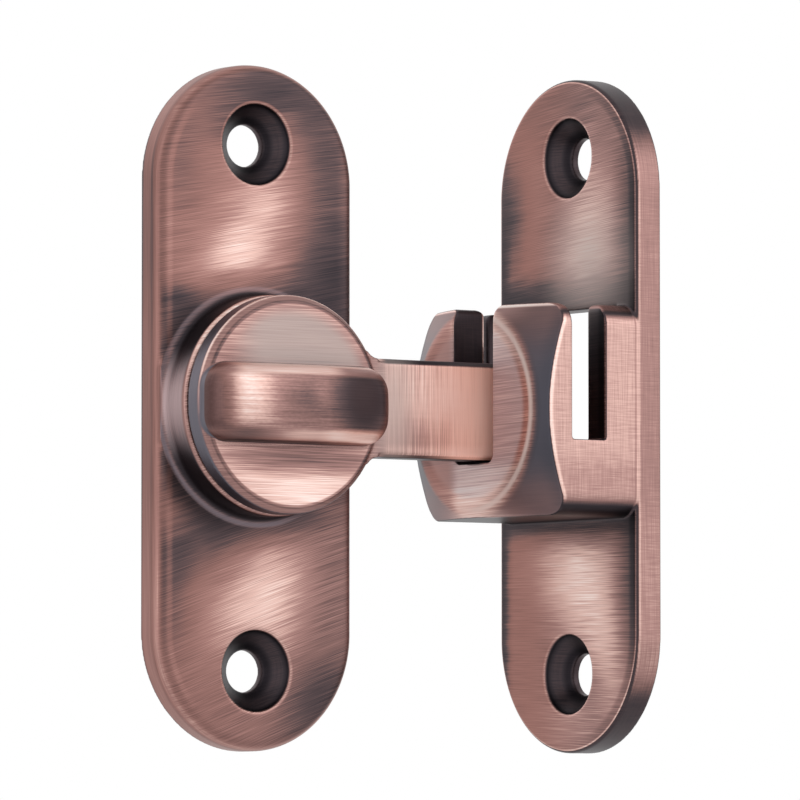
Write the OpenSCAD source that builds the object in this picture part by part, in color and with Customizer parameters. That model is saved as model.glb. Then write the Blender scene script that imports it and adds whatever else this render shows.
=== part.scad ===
// Flip gate latch for a corner: a thumb-turn with a swinging bar on one plate,
// and a notched catch block on a second plate that stands square to the first.
// Frame: X runs along the bar at rest, -Y is the side with the thumb-turn, Z is up.
// Origin: on the pivot axis, at the back face of the knob plate.

/* [Plates] */
// Width of both plates
plate_w = 31; // [30:0.5:36]
// Height of both plates
plate_h = 90; // [84:1:120]
// Thickness of both plates
plate_t = 4; // [3.6:0.1:5]
// Rounding of the knob plate's front edge
knob_edge_r = 1.5; // [0.5:0.1:2.4]
// Rounding of the catch plate's front edge
catch_edge_r = 0.6; // [0.3:0.1:1.5]

/* [Screw holes] */
// Distance between the two screw holes of a plate
screw_pitch = 69; // [56:0.5:76]
// Diameter of a screw hole
screw_hole_d = 5.5; // [4:0.1:6]
// Diameter of a countersink at the plate's front
sink_d = 10.6; // [8:0.1:12]
// Depth of the straight step at a countersink's mouth
sink_step = 0.4; // [0.1:0.1:0.8]
// Full angle of a countersink's cone
sink_angle = 90; // [82:1:100]

/* [Boss] */
// Diameter of the boss that carries the thumb-turn
boss_d = 29; // [27:0.1:30]
// Height of the boss above the plate
boss_h = 4.8; // [4.4:0.1:6.4]
// Rounding of the boss's top edge
boss_edge_r = 0.7; // [0.3:0.1:1]
// Radius of the hollow curve from the plate up to the boss
boss_foot_r = 3; // [1:0.1:3.6]
// How far the boss's foot stays in from the plate's long edges
foot_in = 0.4; // [0.2:0.1:0.8]
// Diameter of the recess in the plate's back
recess_d = 18; // [16.5:0.5:20]
// Depth of the recess in the plate's back
recess_depth = 3; // [3:0.1:3.6]

/* [Pivot] */
// Diameter of the spindle
spindle_d = 8; // [7:0.1:8.5]
// How far the spindle enters the thumb-turn
spindle_seat = 2.2; // [1.5:0.1:2.4]
// Distance across the two flats on the spindle's tail
flats_w = 6; // [5.4:0.1:6.4]
// How far the flats reach past the recess into the bush
flats_over = 0.2; // [0.1:0.1:0.5]
// Clearance between the spindle and its bush, on the radius
bush_clear = 0.05; // [0.02:0.01:0.1]
// Wall of the bush
bush_wall = 1.45; // [1:0.05:2]
// Thickness of the thrust washer under the thumb-turn
thrust_t = 0.4; // [0.3:0.1:0.8]
// Outer diameter of the thrust washer
thrust_d = 25; // [20:0.5:26]
// Outer diameter of the keyed washer
keyed_d = 15; // [13.5:0.5:15.5]
// Thickness of the keyed washer
keyed_t = 0.8; // [0.6:0.1:0.9]
// Clearance of the keyed washer around the spindle's tail
keyed_clear = 0.1; // [0.05:0.05:0.2]
// Outer diameter of the coned spring washer
spring_d = 14; // [13:0.5:15]
// Height of the coned spring washer
spring_h = 0.65; // [0.6:0.05:0.8]
// Thickness of the coned spring washer's blade
spring_t = 0.35; // [0.3:0.05:0.45]
// Clearance between the spring washer's hole and the spindle, on the radius
spring_clear = 0.4; // [0.3:0.05:0.6]
// Diameter of the retaining screw's thread
screw_d = 4; // [3:0.1:4.4]
// Length of the retaining screw's thread
screw_l = 7; // [5:0.1:7.6]
// Diameter of the retaining screw's head
screw_head_d = 9.4; // [8.8:0.1:10.4]
// Thickness of the retaining screw's head
screw_head_t = 1.1; // [0.9:0.1:1.2]
// Length of an arm of the cross in the screw's head, tip to tip
cross_l = 4.6; // [3:0.1:5]
// Width of an arm of the cross in the screw's head
cross_w = 0.9; // [0.6:0.1:1.1]
// Depth of the cross in the screw's head
cross_depth = 0.6; // [0.4:0.1:0.8]

/* [Thumb-turn] */
// Diameter of the thumb-turn's disc
disc_d = 28.6; // [26:0.1:29]
// Thickness of the thumb-turn's disc
disc_t = 3.2; // [3:0.1:4]
// Chamfer of the disc's front edge
disc_edge = 0.5; // [0.2:0.1:0.9]
// Length of the grip across the disc
grip_l = 28; // [22:0.1:28.4]
// Width of the grip
grip_w = 10.2; // [8:0.1:11]
// Height of the grip above the disc at its middle
grip_h = 5; // [4:0.1:7]
// How much lower the grip is at its ends
grip_drop = 1.7; // [0.8:0.1:2.4]
// Rounding of the grip's corners in plan
grip_corner_r = 3; // [2:0.1:3.8]
// Rounding of the grip's long top edges
grip_edge_r = 1.8; // [0.8:0.1:2]
// Rounding of the grip's top at its two ends
grip_end_r = 2; // [0.8:0.1:2.6]

/* [Bar] */
// Distance from the pivot axis to the front of the hammer head
bar_l = 38.6; // [36:0.1:60]
// Height of the bar
bar_h = 13; // [9:0.1:15]
// Thickness of the bar
bar_t = 4; // [3.4:0.1:5]
// How far the bar's face lies below the disc's face
bar_step = 0.4; // [0.2:0.1:0.8]
// Bevel of the bar's front edges
bar_bevel = 0.6; // [0.2:0.1:1]
// Radius of the curve between the disc's rim and the bar
bar_blend_r = 2; // [1:0.1:3]
// Gap between the boss's wall and the bar's root
root_gap = 0.5; // [0.3:0.1:1]
// Height of the hammer head
head_h = 19.5; // [14:0.1:20]
// Thickness of the hammer head
head_t = 2.8; // [2:0.1:3.2]
// Rounding of the hammer head's corners
head_corner_r = 2.2; // [0.5:0.1:3]

/* [Catch] */
// Height of the catch block
block_h = 28; // [24:0.5:30]
// Distance from the catch plate's back to the cheek's face
block_l = 19.5; // [18.5:0.1:26]
// Rounding of the block's long edges
block_edge_r = 3; // [1:0.1:4]
// Thickness of the cheek that holds the hammer head
cheek_t = 5.1; // [4:0.1:5.4]
// Diameter of the flat circle on the cheek's face
cheek_flat_d = 26.6; // [20:0.1:27.6]
// Slope of the cone around that circle, from the cheek's face
cheek_slope = 30; // [20:1:35]
// Width of the notch in the cheek
notch_w = 8.8; // [7.6:0.1:9]
// Rounding of the notch's bottom corners
notch_r = 1.2; // [0.4:0.1:2]
// Gap between the resting bar and the notch's bottom
notch_gap = 0.3; // [0.3:0.1:0.8]
// Thickness of each arm
arm_t = 4.2; // [3:0.1:5]
// Length of the slot in each arm, along the bar
slot_l = 5.4; // [4.8:0.1:6.5]
// Depth of the slot in each arm, from the block's top
slot_depth = 18; // [10:0.1:20]
// Rounding of the slots' bottom corners
slot_r = 0.3; // [0.1:0.1:1]
// Rounding of the lips of the notch and the slots
lip_r = 1; // [0.3:0.1:1.5]
// Gap between the hammer head and the floor of the hollow
floor_gap = 0.8; // [0.4:0.1:1.4]
// Gap between the turning head and the top of the cheek
swing_gap = 0.4; // [0.3:0.1:0.8]
// Gap between the turning head and the knob plate's face
head_gap = 0.5; // [0.4:0.1:1]

/* [Hidden] */
$fn = 96;
over = 1;

// levels above the knob plate's back face, outwards
boss_top = plate_t + boss_h;
disc_back = boss_top + thrust_t;
disc_front = disc_back + disc_t;
bar_front = disc_front - bar_step;
bar_back = bar_front - bar_t;
bar_mid = (bar_front + bar_back) / 2;
head_w = 2 * (bar_mid - plate_t - head_gap);
keyed_top = recess_depth - spring_h;
keyed_low = keyed_top - keyed_t;
spindle_tip = disc_back + spindle_seat;

// radii
plate_r = plate_w / 2;
boss_r = boss_d / 2;
disc_r = disc_d / 2;
spindle_r = spindle_d / 2;
bush_r = spindle_r + bush_clear;
bush_out_r = bush_r + bush_wall;
bar_root = boss_r + root_gap;

// the catch stands where the turning head just clears the top of the cheek
cheek_back = sqrt(pow(bar_l - swing_gap, 2) - pow(block_h / 2, 2));
catch_x = cheek_back + block_l - cheek_t;
cheek_in = block_l - cheek_t;
cheek_flat_r = cheek_flat_d / 2;
hollow_w = plate_w - 2 * arm_t;
hollow_floor = -head_h / 2 - floor_gap;
notch_floor = -bar_h / 2 - notch_gap;
slot_floor = block_h / 2 - slot_depth;

copper = [0.64, 0.40, 0.34];
steel = [0.62, 0.63, 0.65];
bronze = [0.70, 0.52, 0.30];
nylon = [0.16, 0.16, 0.17];

// turns a piece drawn flat, with its front upwards, to face -Y
module facing_front() {
    rotate([90, 0, 0])
        children();
}

// turns a piece drawn flat to face the knob plate and puts it at the catch's place
module facing_knob() {
    translate([catch_x, -bar_mid, 0])
        rotate([90, 0, -90])
            children();
}

// outline of a plate, as a bar with half-round ends
module plate_outline(inset) {
    straight = plate_h - plate_w;
    union() {
        square([plate_w - 2 * inset, straight], center = true);
        for (side = [-1, 1])
            translate([0, side * straight / 2])
                circle(r = plate_r - inset);
    }
}

// half section of a plate's rounded edge, from the middle outwards
module edge_section(edge_r) {
    union() {
        square([plate_r - edge_r, plate_t]);
        square([plate_r, plate_t - edge_r]);
        translate([plate_r - edge_r, plate_t - edge_r])
            circle(r = edge_r);
    }
}

// a plate with its front edge rounded all round
module plate_blank(edge_r) {
    straight = plate_h - plate_w;
    union() {
        for (side = [-1, 1])
            translate([0, side * straight / 2, 0])
                rotate_extrude()
                    edge_section(edge_r);
        for (turn = [0, 180])
            rotate([0, 0, turn])
                rotate([90, 0, 0])
                    translate([0, 0, -straight / 2])
                        linear_extrude(straight)
                            edge_section(edge_r);
    }
}

// the two countersunk screw holes
module screw_holes() {
    cone_h = (sink_d - screw_hole_d) / 2 / tan(sink_angle / 2);
    for (side = [-1, 1])
        translate([0, side * screw_pitch / 2, 0]) {
            translate([0, 0, -over])
                cylinder(d = screw_hole_d, h = plate_t + 2 * over);
            translate([0, 0, plate_t - sink_step - cone_h])
                cylinder(d1 = screw_hole_d, d2 = sink_d, h = cone_h);
            translate([0, 0, plate_t - sink_step])
                cylinder(d = sink_d, h = sink_step + over);
        }
}

// the boss, with a rounded top edge and a hollow curve at its foot
module boss() {
    foot = min(boss_foot_r, boss_h - boss_edge_r);
    rotate_extrude()
        union() {
            square([boss_r, boss_top - boss_edge_r]);
            square([boss_r - boss_edge_r, boss_top]);
            translate([boss_r - boss_edge_r, boss_top - boss_edge_r])
                circle(r = boss_edge_r);
            difference() {
                square([boss_r + foot, plate_t + foot]);
                translate([boss_r + foot, plate_t + foot])
                    circle(r = foot);
            }
        }
}

// the knob plate: plate, boss, bore for the bush and recess in the back
module knob_plate() {
    color(copper)
        facing_front()
            difference() {
                union() {
                    plate_blank(knob_edge_r);
                    intersection() {
                        boss();
                        linear_extrude(boss_top)
                            plate_outline(foot_in);
                    }
                }
                screw_holes();
                translate([0, 0, -over])
                    cylinder(r = bush_out_r, h = boss_top + 2 * over);
                translate([0, 0, -over])
                    cylinder(d = recess_d, h = recess_depth + over);
            }
}

// bush that lines the boss's bore
module bore_bush() {
    color(bronze)
        facing_front()
            translate([0, 0, recess_depth])
                difference() {
                    cylinder(r = bush_out_r, h = boss_top - recess_depth);
                    translate([0, 0, -over])
                        cylinder(r = bush_r, h = boss_top - recess_depth + 2 * over);
                }
}

// coned washer that keeps the thumb-turn stiff, between the recess and the keyed washer
module spring_washer() {
    inner = spindle_r + spring_clear;
    outer = spring_d / 2;
    color(steel)
        facing_front()
            rotate_extrude()
                polygon([
                    [inner, keyed_top],
                    [outer, recess_depth - spring_t],
                    [outer, recess_depth],
                    [inner, keyed_top + spring_t]
                ]);
}

// section of the spindle's tail, a circle with two flats
module flatted(clear) {
    intersection() {
        circle(r = spindle_r + clear);
        square([flats_w + 2 * clear, spindle_d + 4 * clear + over], center = true);
    }
}

// spindle: round in the bush, with two flats on its tail and a tapped hole
module spindle() {
    tail = recess_depth + flats_over;
    color(steel)
        facing_front()
            difference() {
                union() {
                    translate([0, 0, tail])
                        cylinder(r = spindle_r, h = spindle_tip - tail);
                    translate([0, 0, keyed_low])
                        linear_extrude(tail - keyed_low)
                            flatted(0);
                }
                translate([0, 0, keyed_low - over])
                    cylinder(d = screw_d, h = screw_l + over);
            }
}

// washer between the boss and the disc
module thrust_washer() {
    color(nylon)
        facing_front()
            translate([0, 0, boss_top])
                difference() {
                    cylinder(d = thrust_d, h = thrust_t);
                    translate([0, 0, -over])
                        cylinder(r = bush_r, h = thrust_t + 2 * over);
                }
}

// washer that turns with the spindle's flats
module keyed_washer() {
    color(steel)
        facing_front()
            translate([0, 0, keyed_low])
                linear_extrude(keyed_t)
                    difference() {
                        circle(d = keyed_d);
                        flatted(keyed_clear);
                    }
}

// screw that holds the pivot together from the back
module retaining_screw() {
    color(steel)
        facing_front()
            difference() {
                union() {
                    translate([0, 0, keyed_low - screw_head_t])
                        cylinder(d = screw_head_d, h = screw_head_t);
                    translate([0, 0, keyed_low])
                        cylinder(d = screw_d, h = screw_l);
                }
                for (turn = [0, 90])
                    rotate([0, 0, turn])
                        translate([-cross_l / 2, -cross_w / 2, keyed_low - screw_head_t - over])
                            cube([cross_l, cross_w, cross_depth + over]);
            }
}

// plan of the grip: a bar with rounded corners
module grip_plan() {
    union() {
        square([grip_l - 2 * grip_corner_r, grip_w], center = true);
        square([grip_l, grip_w - 2 * grip_corner_r], center = true);
        for (sx = [-1, 1])
            for (sy = [-1, 1])
                translate([sx * (grip_l / 2 - grip_corner_r), sy * (grip_w / 2 - grip_corner_r)])
                    circle(r = grip_corner_r);
    }
}

// section of the grip across its length, with rounded long edges
module grip_section() {
    union() {
        translate([-grip_w / 2, 0])
            square([grip_w, disc_front + grip_h - grip_edge_r]);
        translate([-grip_w / 2 + grip_edge_r, 0])
            square([grip_w - 2 * grip_edge_r, disc_front + grip_h]);
        for (side = [-1, 1])
            translate([side * (grip_w / 2 - grip_edge_r), disc_front + grip_h - grip_edge_r])
                circle(r = grip_edge_r);
    }
}

// side view of the grip: crowned along its length, with rounded ends
module grip_profile() {
    half = grip_l / 2;
    crown_r = (half * half + grip_drop * grip_drop) / (2 * grip_drop);
    end_x = half - grip_end_r;
    end_y = disc_front + grip_h - crown_r + sqrt(crown_r * crown_r - end_x * end_x) - grip_end_r;
    intersection() {
        union() {
            translate([-end_x, 0])
                square([2 * end_x, disc_front + grip_h]);
            translate([-half, 0])
                square([grip_l, end_y]);
            for (side = [-1, 1])
                translate([side * end_x, end_y])
                    circle(r = grip_end_r);
        }
        translate([0, disc_front + grip_h - crown_r])
            circle(r = crown_r, $fn = 360);
    }
}

// the grip: plan, side view and cross-section together
module grip() {
    intersection() {
        translate([0, 0, disc_front - disc_t / 2])
            linear_extrude(grip_h + disc_t)
                grip_plan();
        rotate([90, 0, 90])
            translate([0, 0, -grip_l / 2])
                linear_extrude(grip_l)
                    grip_section();
        rotate([90, 0, 0])
            translate([0, 0, -grip_w / 2])
                linear_extrude(grip_w)
                    grip_profile();
    }
}

// hollow curves where the bar leaves the disc's rim
module bar_blend() {
    reach = sqrt(pow(disc_r + bar_blend_r, 2) - pow(bar_h / 2 + bar_blend_r, 2));
    touch = disc_r / (disc_r + bar_blend_r);
    for (side = [-1, 1])
        translate([0, 0, disc_back])
            linear_extrude(bar_front - disc_back)
                difference() {
                    polygon([
                        [reach, side * bar_h / 2],
                        [reach * touch, side * (bar_h / 2 + bar_blend_r) * touch],
                        [reach * touch, side * bar_h / 4],
                        [reach, side * bar_h / 4]
                    ]);
                    translate([reach, side * (bar_h / 2 + bar_blend_r)])
                        circle(r = bar_blend_r);
                }
}

// section of the bar: a strip with its two front edges bevelled
module bar_section(low) {
    half = bar_h / 2;
    polygon([
        [-half, low],
        [half, low],
        [half, bar_front - bar_bevel],
        [half - bar_bevel, bar_front],
        [-half + bar_bevel, bar_front],
        [-half, bar_front - bar_bevel]
    ]);
}

// a strip of the bar between two distances from the pivot axis
module bar_strip(from, to, low) {
    rotate([90, 0, 90])
        translate([0, 0, from])
            linear_extrude(to - from)
                bar_section(low);
}

// outline of the hammer head
module head_outline() {
    w = head_w;
    h = head_h;
    r = head_corner_r;
    union() {
        square([w - 2 * r, h], center = true);
        square([w, h - 2 * r], center = true);
        for (sx = [-1, 1])
            for (sy = [-1, 1])
                translate([sx * (w / 2 - r), sy * (h / 2 - r)])
                    circle(r = r);
    }
}

// the thumb-turn with its bar and hammer head, one casting
module flip_bar() {
    color(copper)
        union() {
            facing_front()
                difference() {
                    union() {
                        translate([0, 0, disc_back])
                            cylinder(r = disc_r, h = disc_t - disc_edge);
                        translate([0, 0, disc_front - disc_edge])
                            cylinder(r1 = disc_r, r2 = disc_r - disc_edge, h = disc_edge);
                        grip();
                        bar_blend();
                        bar_strip(disc_r / 2, bar_root + over, disc_back);
                        bar_strip(bar_root, bar_l + over, bar_back);
                    }
                    translate([0, 0, disc_back - over])
                        cylinder(r = spindle_r, h = spindle_seat + over);
                }
            translate([bar_l, -bar_mid, 0])
                rotate([90, 0, 90])
                    linear_extrude(head_t)
                        head_outline();
        }
}

// cross-section of the catch block, flush with the plate's long sides
module block_outline() {
    r = block_edge_r;
    union() {
        square([plate_w - 2 * r, block_h], center = true);
        square([plate_w, block_h - 2 * r], center = true);
        for (sx = [-1, 1])
            for (sy = [-1, 1])
                translate([sx * (plate_w / 2 - r), sy * (block_h / 2 - r)])
                    circle(r = r);
    }
}

// a cut that is open at the block's top, with rounded lips and bottom corners
module open_cut(width, floor, corner_r) {
    top = block_h / 2;
    half = width / 2;
    union() {
        translate([-half, floor + corner_r])
            square([width, top - floor - corner_r + over]);
        translate([-half + corner_r, floor])
            square([width - 2 * corner_r, corner_r + over]);
        for (side = [-1, 1]) {
            translate([side * (half - corner_r), floor + corner_r])
                circle(r = corner_r);
            difference() {
                translate([side * half, top + (over - lip_r) / 2])
                    square([2 * lip_r, lip_r + over], center = true);
                translate([side * (half + lip_r), top - lip_r])
                    circle(r = lip_r);
            }
        }
    }
}

// the catch block before its cuts, with the coned cheek
module block_blank() {
    intersection() {
        linear_extrude(block_l)
            block_outline();
        cylinder(r1 = cheek_flat_r + block_l / tan(cheek_slope), r2 = cheek_flat_r, h = block_l);
    }
}

// the catch plate: plate, notched cheek, two slotted arms and a hollow behind the cheek
module catch_plate() {
    color(copper)
        facing_knob()
            difference() {
                union() {
                    plate_blank(catch_edge_r);
                    block_blank();
                }
                screw_holes();
                // hollow and window for the hammer head
                translate([-hollow_w / 2, hollow_floor, -over])
                    cube([hollow_w, block_h / 2 - hollow_floor, cheek_in + over]);
                translate([-hollow_w / 2, 0, plate_t])
                    cube([hollow_w, block_h, cheek_in - plate_t]);
                // notch for the bar
                translate([0, 0, cheek_in - over])
                    linear_extrude(cheek_t + 2 * over)
                        open_cut(notch_w, notch_floor, notch_r);
                // slots through both arms
                rotate([0, 90, 0])
                    translate([slot_l / 2 - cheek_in, 0, -plate_w / 2 - over])
                        linear_extrude(plate_w + 2 * over)
                            open_cut(slot_l, slot_floor, slot_r);
            }
}

knob_plate();
bore_bush();
spring_washer();
catch_plate();
flip_bar();
spindle();
thrust_washer();
keyed_washer();
retaining_screw();
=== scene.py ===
"""Looks of a flip gate latch: two antique copper castings, a flip bar and its pivot."""

import logging
import math
from dataclasses import dataclass, field
from enum import Enum

import bmesh
import bpy
from bmesh.types import BMEdge, BMesh, BMFace, BMVert
from mathutils import Matrix, Vector


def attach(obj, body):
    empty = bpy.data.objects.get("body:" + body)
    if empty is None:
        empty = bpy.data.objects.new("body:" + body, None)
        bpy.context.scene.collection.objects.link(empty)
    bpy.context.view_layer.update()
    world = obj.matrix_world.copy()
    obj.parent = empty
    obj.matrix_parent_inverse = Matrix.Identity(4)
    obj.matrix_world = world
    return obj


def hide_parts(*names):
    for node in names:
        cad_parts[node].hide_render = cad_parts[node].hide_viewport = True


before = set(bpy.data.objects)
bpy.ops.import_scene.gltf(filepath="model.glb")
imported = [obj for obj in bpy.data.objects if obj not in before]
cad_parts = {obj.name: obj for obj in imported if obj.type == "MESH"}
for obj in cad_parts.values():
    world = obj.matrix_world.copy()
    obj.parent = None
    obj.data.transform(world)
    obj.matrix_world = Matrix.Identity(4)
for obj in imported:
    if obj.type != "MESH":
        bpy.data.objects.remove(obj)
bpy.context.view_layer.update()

log = logging.getLogger("latch")

Point = tuple[float, float]
Span = tuple[float, float]
Triple = tuple[float, float, float]
Colour = tuple[float, float, float]

MM = 0.001
ALL_ROUND = 2 * math.pi

# Broad brush marks: length, width and depth, in millimetres.
BROAD_MARK: Triple = (9.0, 1.2, 2.0)

# Plate backs: from which outward part of the normal a face counts as one, and their tone.
BACKWARD: Span = (-0.95, -0.7)
BACK_TONE = 0.42


class Place(Enum):
    """Where a piece that is drawn flat, with its front upwards, goes on the latch."""

    FRONT = "faces the user"
    CATCH = "faces the thumb-turn"

    def matrix(self, sizes: "LatchSizes") -> Matrix:
        """Gives the transform from the piece's own millimetres to the latch's metres.

        Args:
            sizes: the sizes that both halves share.

        Returns:
            The transform.
        """
        stand = Matrix.Rotation(math.pi / 2, 4, "X")
        if self is Place.CATCH:
            turn = Matrix.Rotation(-math.pi / 2, 4, "Z")
            shift = Matrix.Translation((sizes.catch_x, -sizes.bar_mid, 0.0))
            stand = shift @ turn @ stand
        return Matrix.Scale(MM, 4) @ stand


class Way(Enum):
    """The three ways in a piece's own frame."""

    ACROSS = 0
    UP = 1
    OUT = 2


@dataclass(frozen=True)
class LatchSizes:
    """Sizes in millimetres that more than one piece depends on."""

    plate_w: float = 31.0
    plate_h: float = 90.0
    plate_t: float = 4.0
    screw_pitch: float = 69.0
    screw_hole_r: float = 2.75
    sink_r: float = 5.3
    sink_step: float = 0.4
    boss_r: float = 14.5
    boss_top: float = 8.8
    disc_back: float = 9.2
    disc_front: float = 12.4
    bar_front: float = 12.0
    bar_back: float = 8.0
    bar_l: float = 38.6
    bar_h: float = 13.0
    head_h: float = 19.5
    block_h: float = 28.0
    block_l: float = 19.5
    cheek_t: float = 5.1
    swing_gap: float = 0.4

    @property
    def bar_mid(self) -> float:
        """Gives the level of the bar's middle plane above the knob plate's back."""
        return (self.bar_front + self.bar_back) / 2

    @property
    def cheek_back(self) -> float:
        """Gives the distance from the pivot axis to the back of the cheek."""
        return math.sqrt((self.bar_l - self.swing_gap) ** 2 - (self.block_h / 2) ** 2)

    @property
    def catch_x(self) -> float:
        """Gives the distance from the pivot axis to the catch plate's back."""
        return self.cheek_back + self.block_l - self.cheek_t


def arc(cx: float, cy: float, radius: float, start: float, end: float,
        steps: int = 10) -> list[Point]:
    """Gives points along an arc of a profile.

    Args:
        cx: first coordinate of the centre.
        cy: second coordinate of the centre.
        radius: radius of the arc.
        start: angle of the first point, in degrees.
        end: angle of the last point, in degrees.
        steps: number of stretches.

    Returns:
        The points, both ends included.
    """
    turns = [math.radians(start + (end - start) * i / steps) for i in range(steps + 1)]
    return [(cx + radius * math.cos(t), cy + radius * math.sin(t)) for t in turns]


def lathe(profile: list[Point], steps: int = 256) -> BMesh:
    """Spins a profile into a closed solid.

    Args:
        profile: points of radius and height, the first and last on the axis.
        steps: number of steps round the axis.

    Returns:
        The solid, with its axis along Z.
    """
    solid = bmesh.new()
    verts = [solid.verts.new((r, 0.0, h)) for r, h in profile]
    edges = [solid.edges.new(pair) for pair in zip(verts, verts[1:])]
    bmesh.ops.spin(solid, geom=verts + edges, cent=(0, 0, 0), axis=(0, 0, 1),
                   angle=ALL_ROUND, steps=steps, use_merge=True)
    bmesh.ops.remove_doubles(solid, verts=solid.verts, dist=1e-4)
    bmesh.ops.recalc_face_normals(solid, faces=solid.faces)
    return solid


def prism(outline: list[Point], low: float, high: float) -> BMesh:
    """Draws an outline up into a solid.

    Args:
        outline: corners of the outline.
        low: height of the lower face.
        high: height of the upper face.

    Returns:
        The solid.
    """
    solid = bmesh.new()
    face = solid.faces.new([solid.verts.new((x, y, low)) for x, y in outline])
    lift(solid, [face], high - low)
    return solid


def lift(solid: BMesh, faces: list[BMFace], height: float) -> list[BMVert]:
    """Extrudes faces straight up and mends the normals.

    Args:
        solid: the mesh that is worked on.
        faces: faces to extrude.
        height: how far they go.

    Returns:
        The vertices of the lifted faces.
    """
    made = bmesh.ops.extrude_face_region(solid, geom=faces)["geom"]
    top = [v for v in made if isinstance(v, BMVert)]
    bmesh.ops.translate(solid, verts=top, vec=(0, 0, height))
    bmesh.ops.recalc_face_normals(solid, faces=solid.faces)
    return top


def soften(solid: BMesh, edges: list[BMEdge], radius: float, segments: int) -> None:
    """Rounds edges of a solid.

    Args:
        solid: the solid.
        edges: the edges to round.
        radius: radius of the rounding.
        segments: how many steps it takes.
    """
    bmesh.ops.bevel(solid, geom=edges, offset=radius, offset_type="OFFSET", affect="EDGES",
                    segments=segments, profile=0.5, material=-1)


def stadium(width: float, height: float, thick: float, edge_r: float, steps: int = 256) -> BMesh:
    """Makes a plate with half-round ends and a rounded front edge.

    Args:
        width: width of the plate.
        height: height of the plate.
        thick: thickness of the plate.
        edge_r: radius of the front edge.
        steps: steps of both ends together.

    Returns:
        The solid, lying flat with its front upwards.
    """
    solid = bmesh.new()
    bmesh.ops.create_circle(solid, cap_ends=True, segments=steps, radius=width / 2,
                            matrix=Matrix.Rotation(math.pi / steps, 4, "Z"))
    halves = {side: [v for v in solid.verts if v.co.y * side > 0] for side in (-1, 1)}
    for side, verts in halves.items():
        bmesh.ops.translate(solid, verts=verts, vec=(0, side * (height - width) / 2, 0))
    top = set(lift(solid, list(solid.faces), thick))
    rim = [e for e in solid.edges if all(v in top for v in e.verts)]
    soften(solid, rim, edge_r, segments=10)
    return solid


def slab(low: Vector, high: Vector, corner_r: float = 0.0, axis: int = 2, steps: int = 12) -> BMesh:
    """Makes a box whose edges along one axis are rounded.

    Args:
        low: lowest corner.
        high: highest corner.
        corner_r: radius of the rounded edges.
        axis: 0, 1 or 2 for edges along X, Y or Z.
        steps: segments of each rounding.

    Returns:
        The solid.
    """
    solid = bmesh.new()
    size = high - low
    bmesh.ops.create_cube(solid, size=1.0)
    bmesh.ops.scale(solid, verts=solid.verts, vec=size)
    bmesh.ops.translate(solid, verts=solid.verts, vec=(low + high) / 2)
    if corner_r > 0:
        run = [e for e in solid.edges
               if abs((e.verts[0].co - e.verts[1].co)[axis]) > size[axis] / 2]
        soften(solid, run, corner_r, segments=steps)
    return solid


def turned(solid: BMesh, matrix: Matrix) -> BMesh:
    """Moves a solid and gives it back."""
    bmesh.ops.transform(solid, matrix=matrix, verts=solid.verts)
    return solid


@dataclass
class Casting:
    """A cast piece: solids joined, then cut, with every edge softened by polishing.

    Attributes:
        name: name of the finished piece.
        first: the solid that the others are joined to or cut from.
        grain: edge of the cells in which the surface is rebuilt, in millimetres.
        polish: how many times the surface is smoothed.
        flat_share: how far from flat merged cells may be, as a share of the grain.
        steps: the solids still to come, each with what it does.
    """

    name: str
    first: BMesh
    grain: float = 0.15
    polish: int = 6
    flat_share: float = 1 / 24
    steps: list[tuple[str, BMesh]] = field(default_factory=list)

    def join(self, *solids: BMesh) -> "Casting":
        """Adds solids to the piece."""
        self.steps += [("UNION", s) for s in solids]
        return self

    def keep_inside(self, solid: BMesh) -> "Casting":
        """Keeps only what lies inside a solid."""
        self.steps.append(("INTERSECT", solid))
        return self

    def cut(self, *solids: BMesh) -> "Casting":
        """Takes solids away from the piece."""
        self.steps += [("DIFFERENCE", s) for s in solids]
        return self

    def rough(self) -> bpy.types.Object:
        """Joins and cuts the solids.

        Returns:
            The piece with sharp edges, in its own millimetres.
        """
        piece = as_object(self.name, self.first)
        helpers = []
        for number, (deed, solid) in enumerate(self.steps):
            helper = as_object(f"{self.name}.step{number}", solid)
            modifier = piece.modifiers.new("join", "BOOLEAN")
            modifier.solver = "MANIFOLD"
            modifier.operation = deed
            modifier.object = helper
            helpers.append(helper)
        settle(piece)
        for helper in helpers:
            spare = helper.data
            bpy.data.objects.remove(helper)
            bpy.data.meshes.remove(spare)
        return piece

    def lump(self) -> BMesh:
        """Joins and cuts the solids into one that another casting takes up.

        Returns:
            The solid.
        """
        piece = self.rough()
        solid = bmesh.new()
        solid.from_mesh(piece.data)
        bpy.data.objects.remove(piece)
        return solid

    def pour(self, place: Matrix) -> bpy.types.Object:
        """Makes the finished piece with soft edges, in its place on the latch.

        Args:
            place: transform from the piece's millimetres to the latch's metres.

        Returns:
            The piece.
        """
        piece = self.rough()
        for adaptivity, polish in ((0.0, self.polish), (self.grain * self.flat_share, 0)):
            cells = piece.modifiers.new("cells", "REMESH")
            cells.mode = "VOXEL"
            cells.voxel_size = self.grain
            cells.adaptivity = adaptivity
            cells.use_smooth_shade = True
            if polish:
                smooth = piece.modifiers.new("smooth", "SMOOTH")
                smooth.factor = 0.5
                smooth.iterations = polish
            settle(piece)
        unfold(piece)
        piece.data.transform(place)
        even = piece.modifiers.new("even", "WEIGHTED_NORMAL")
        even.weight = 100
        even.keep_sharp = False
        settle(piece)
        return piece


def as_object(name: str, solid: BMesh) -> bpy.types.Object:
    """Turns a bmesh into an object in the scene.

    Args:
        name: name of the object.
        solid: the mesh, which is freed.

    Returns:
        The object.
    """
    mesh = bpy.data.meshes.new(name)
    solid.to_mesh(mesh)
    solid.free()
    piece = bpy.data.objects.new(name, mesh)
    bpy.context.scene.collection.objects.link(piece)
    return piece


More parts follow.
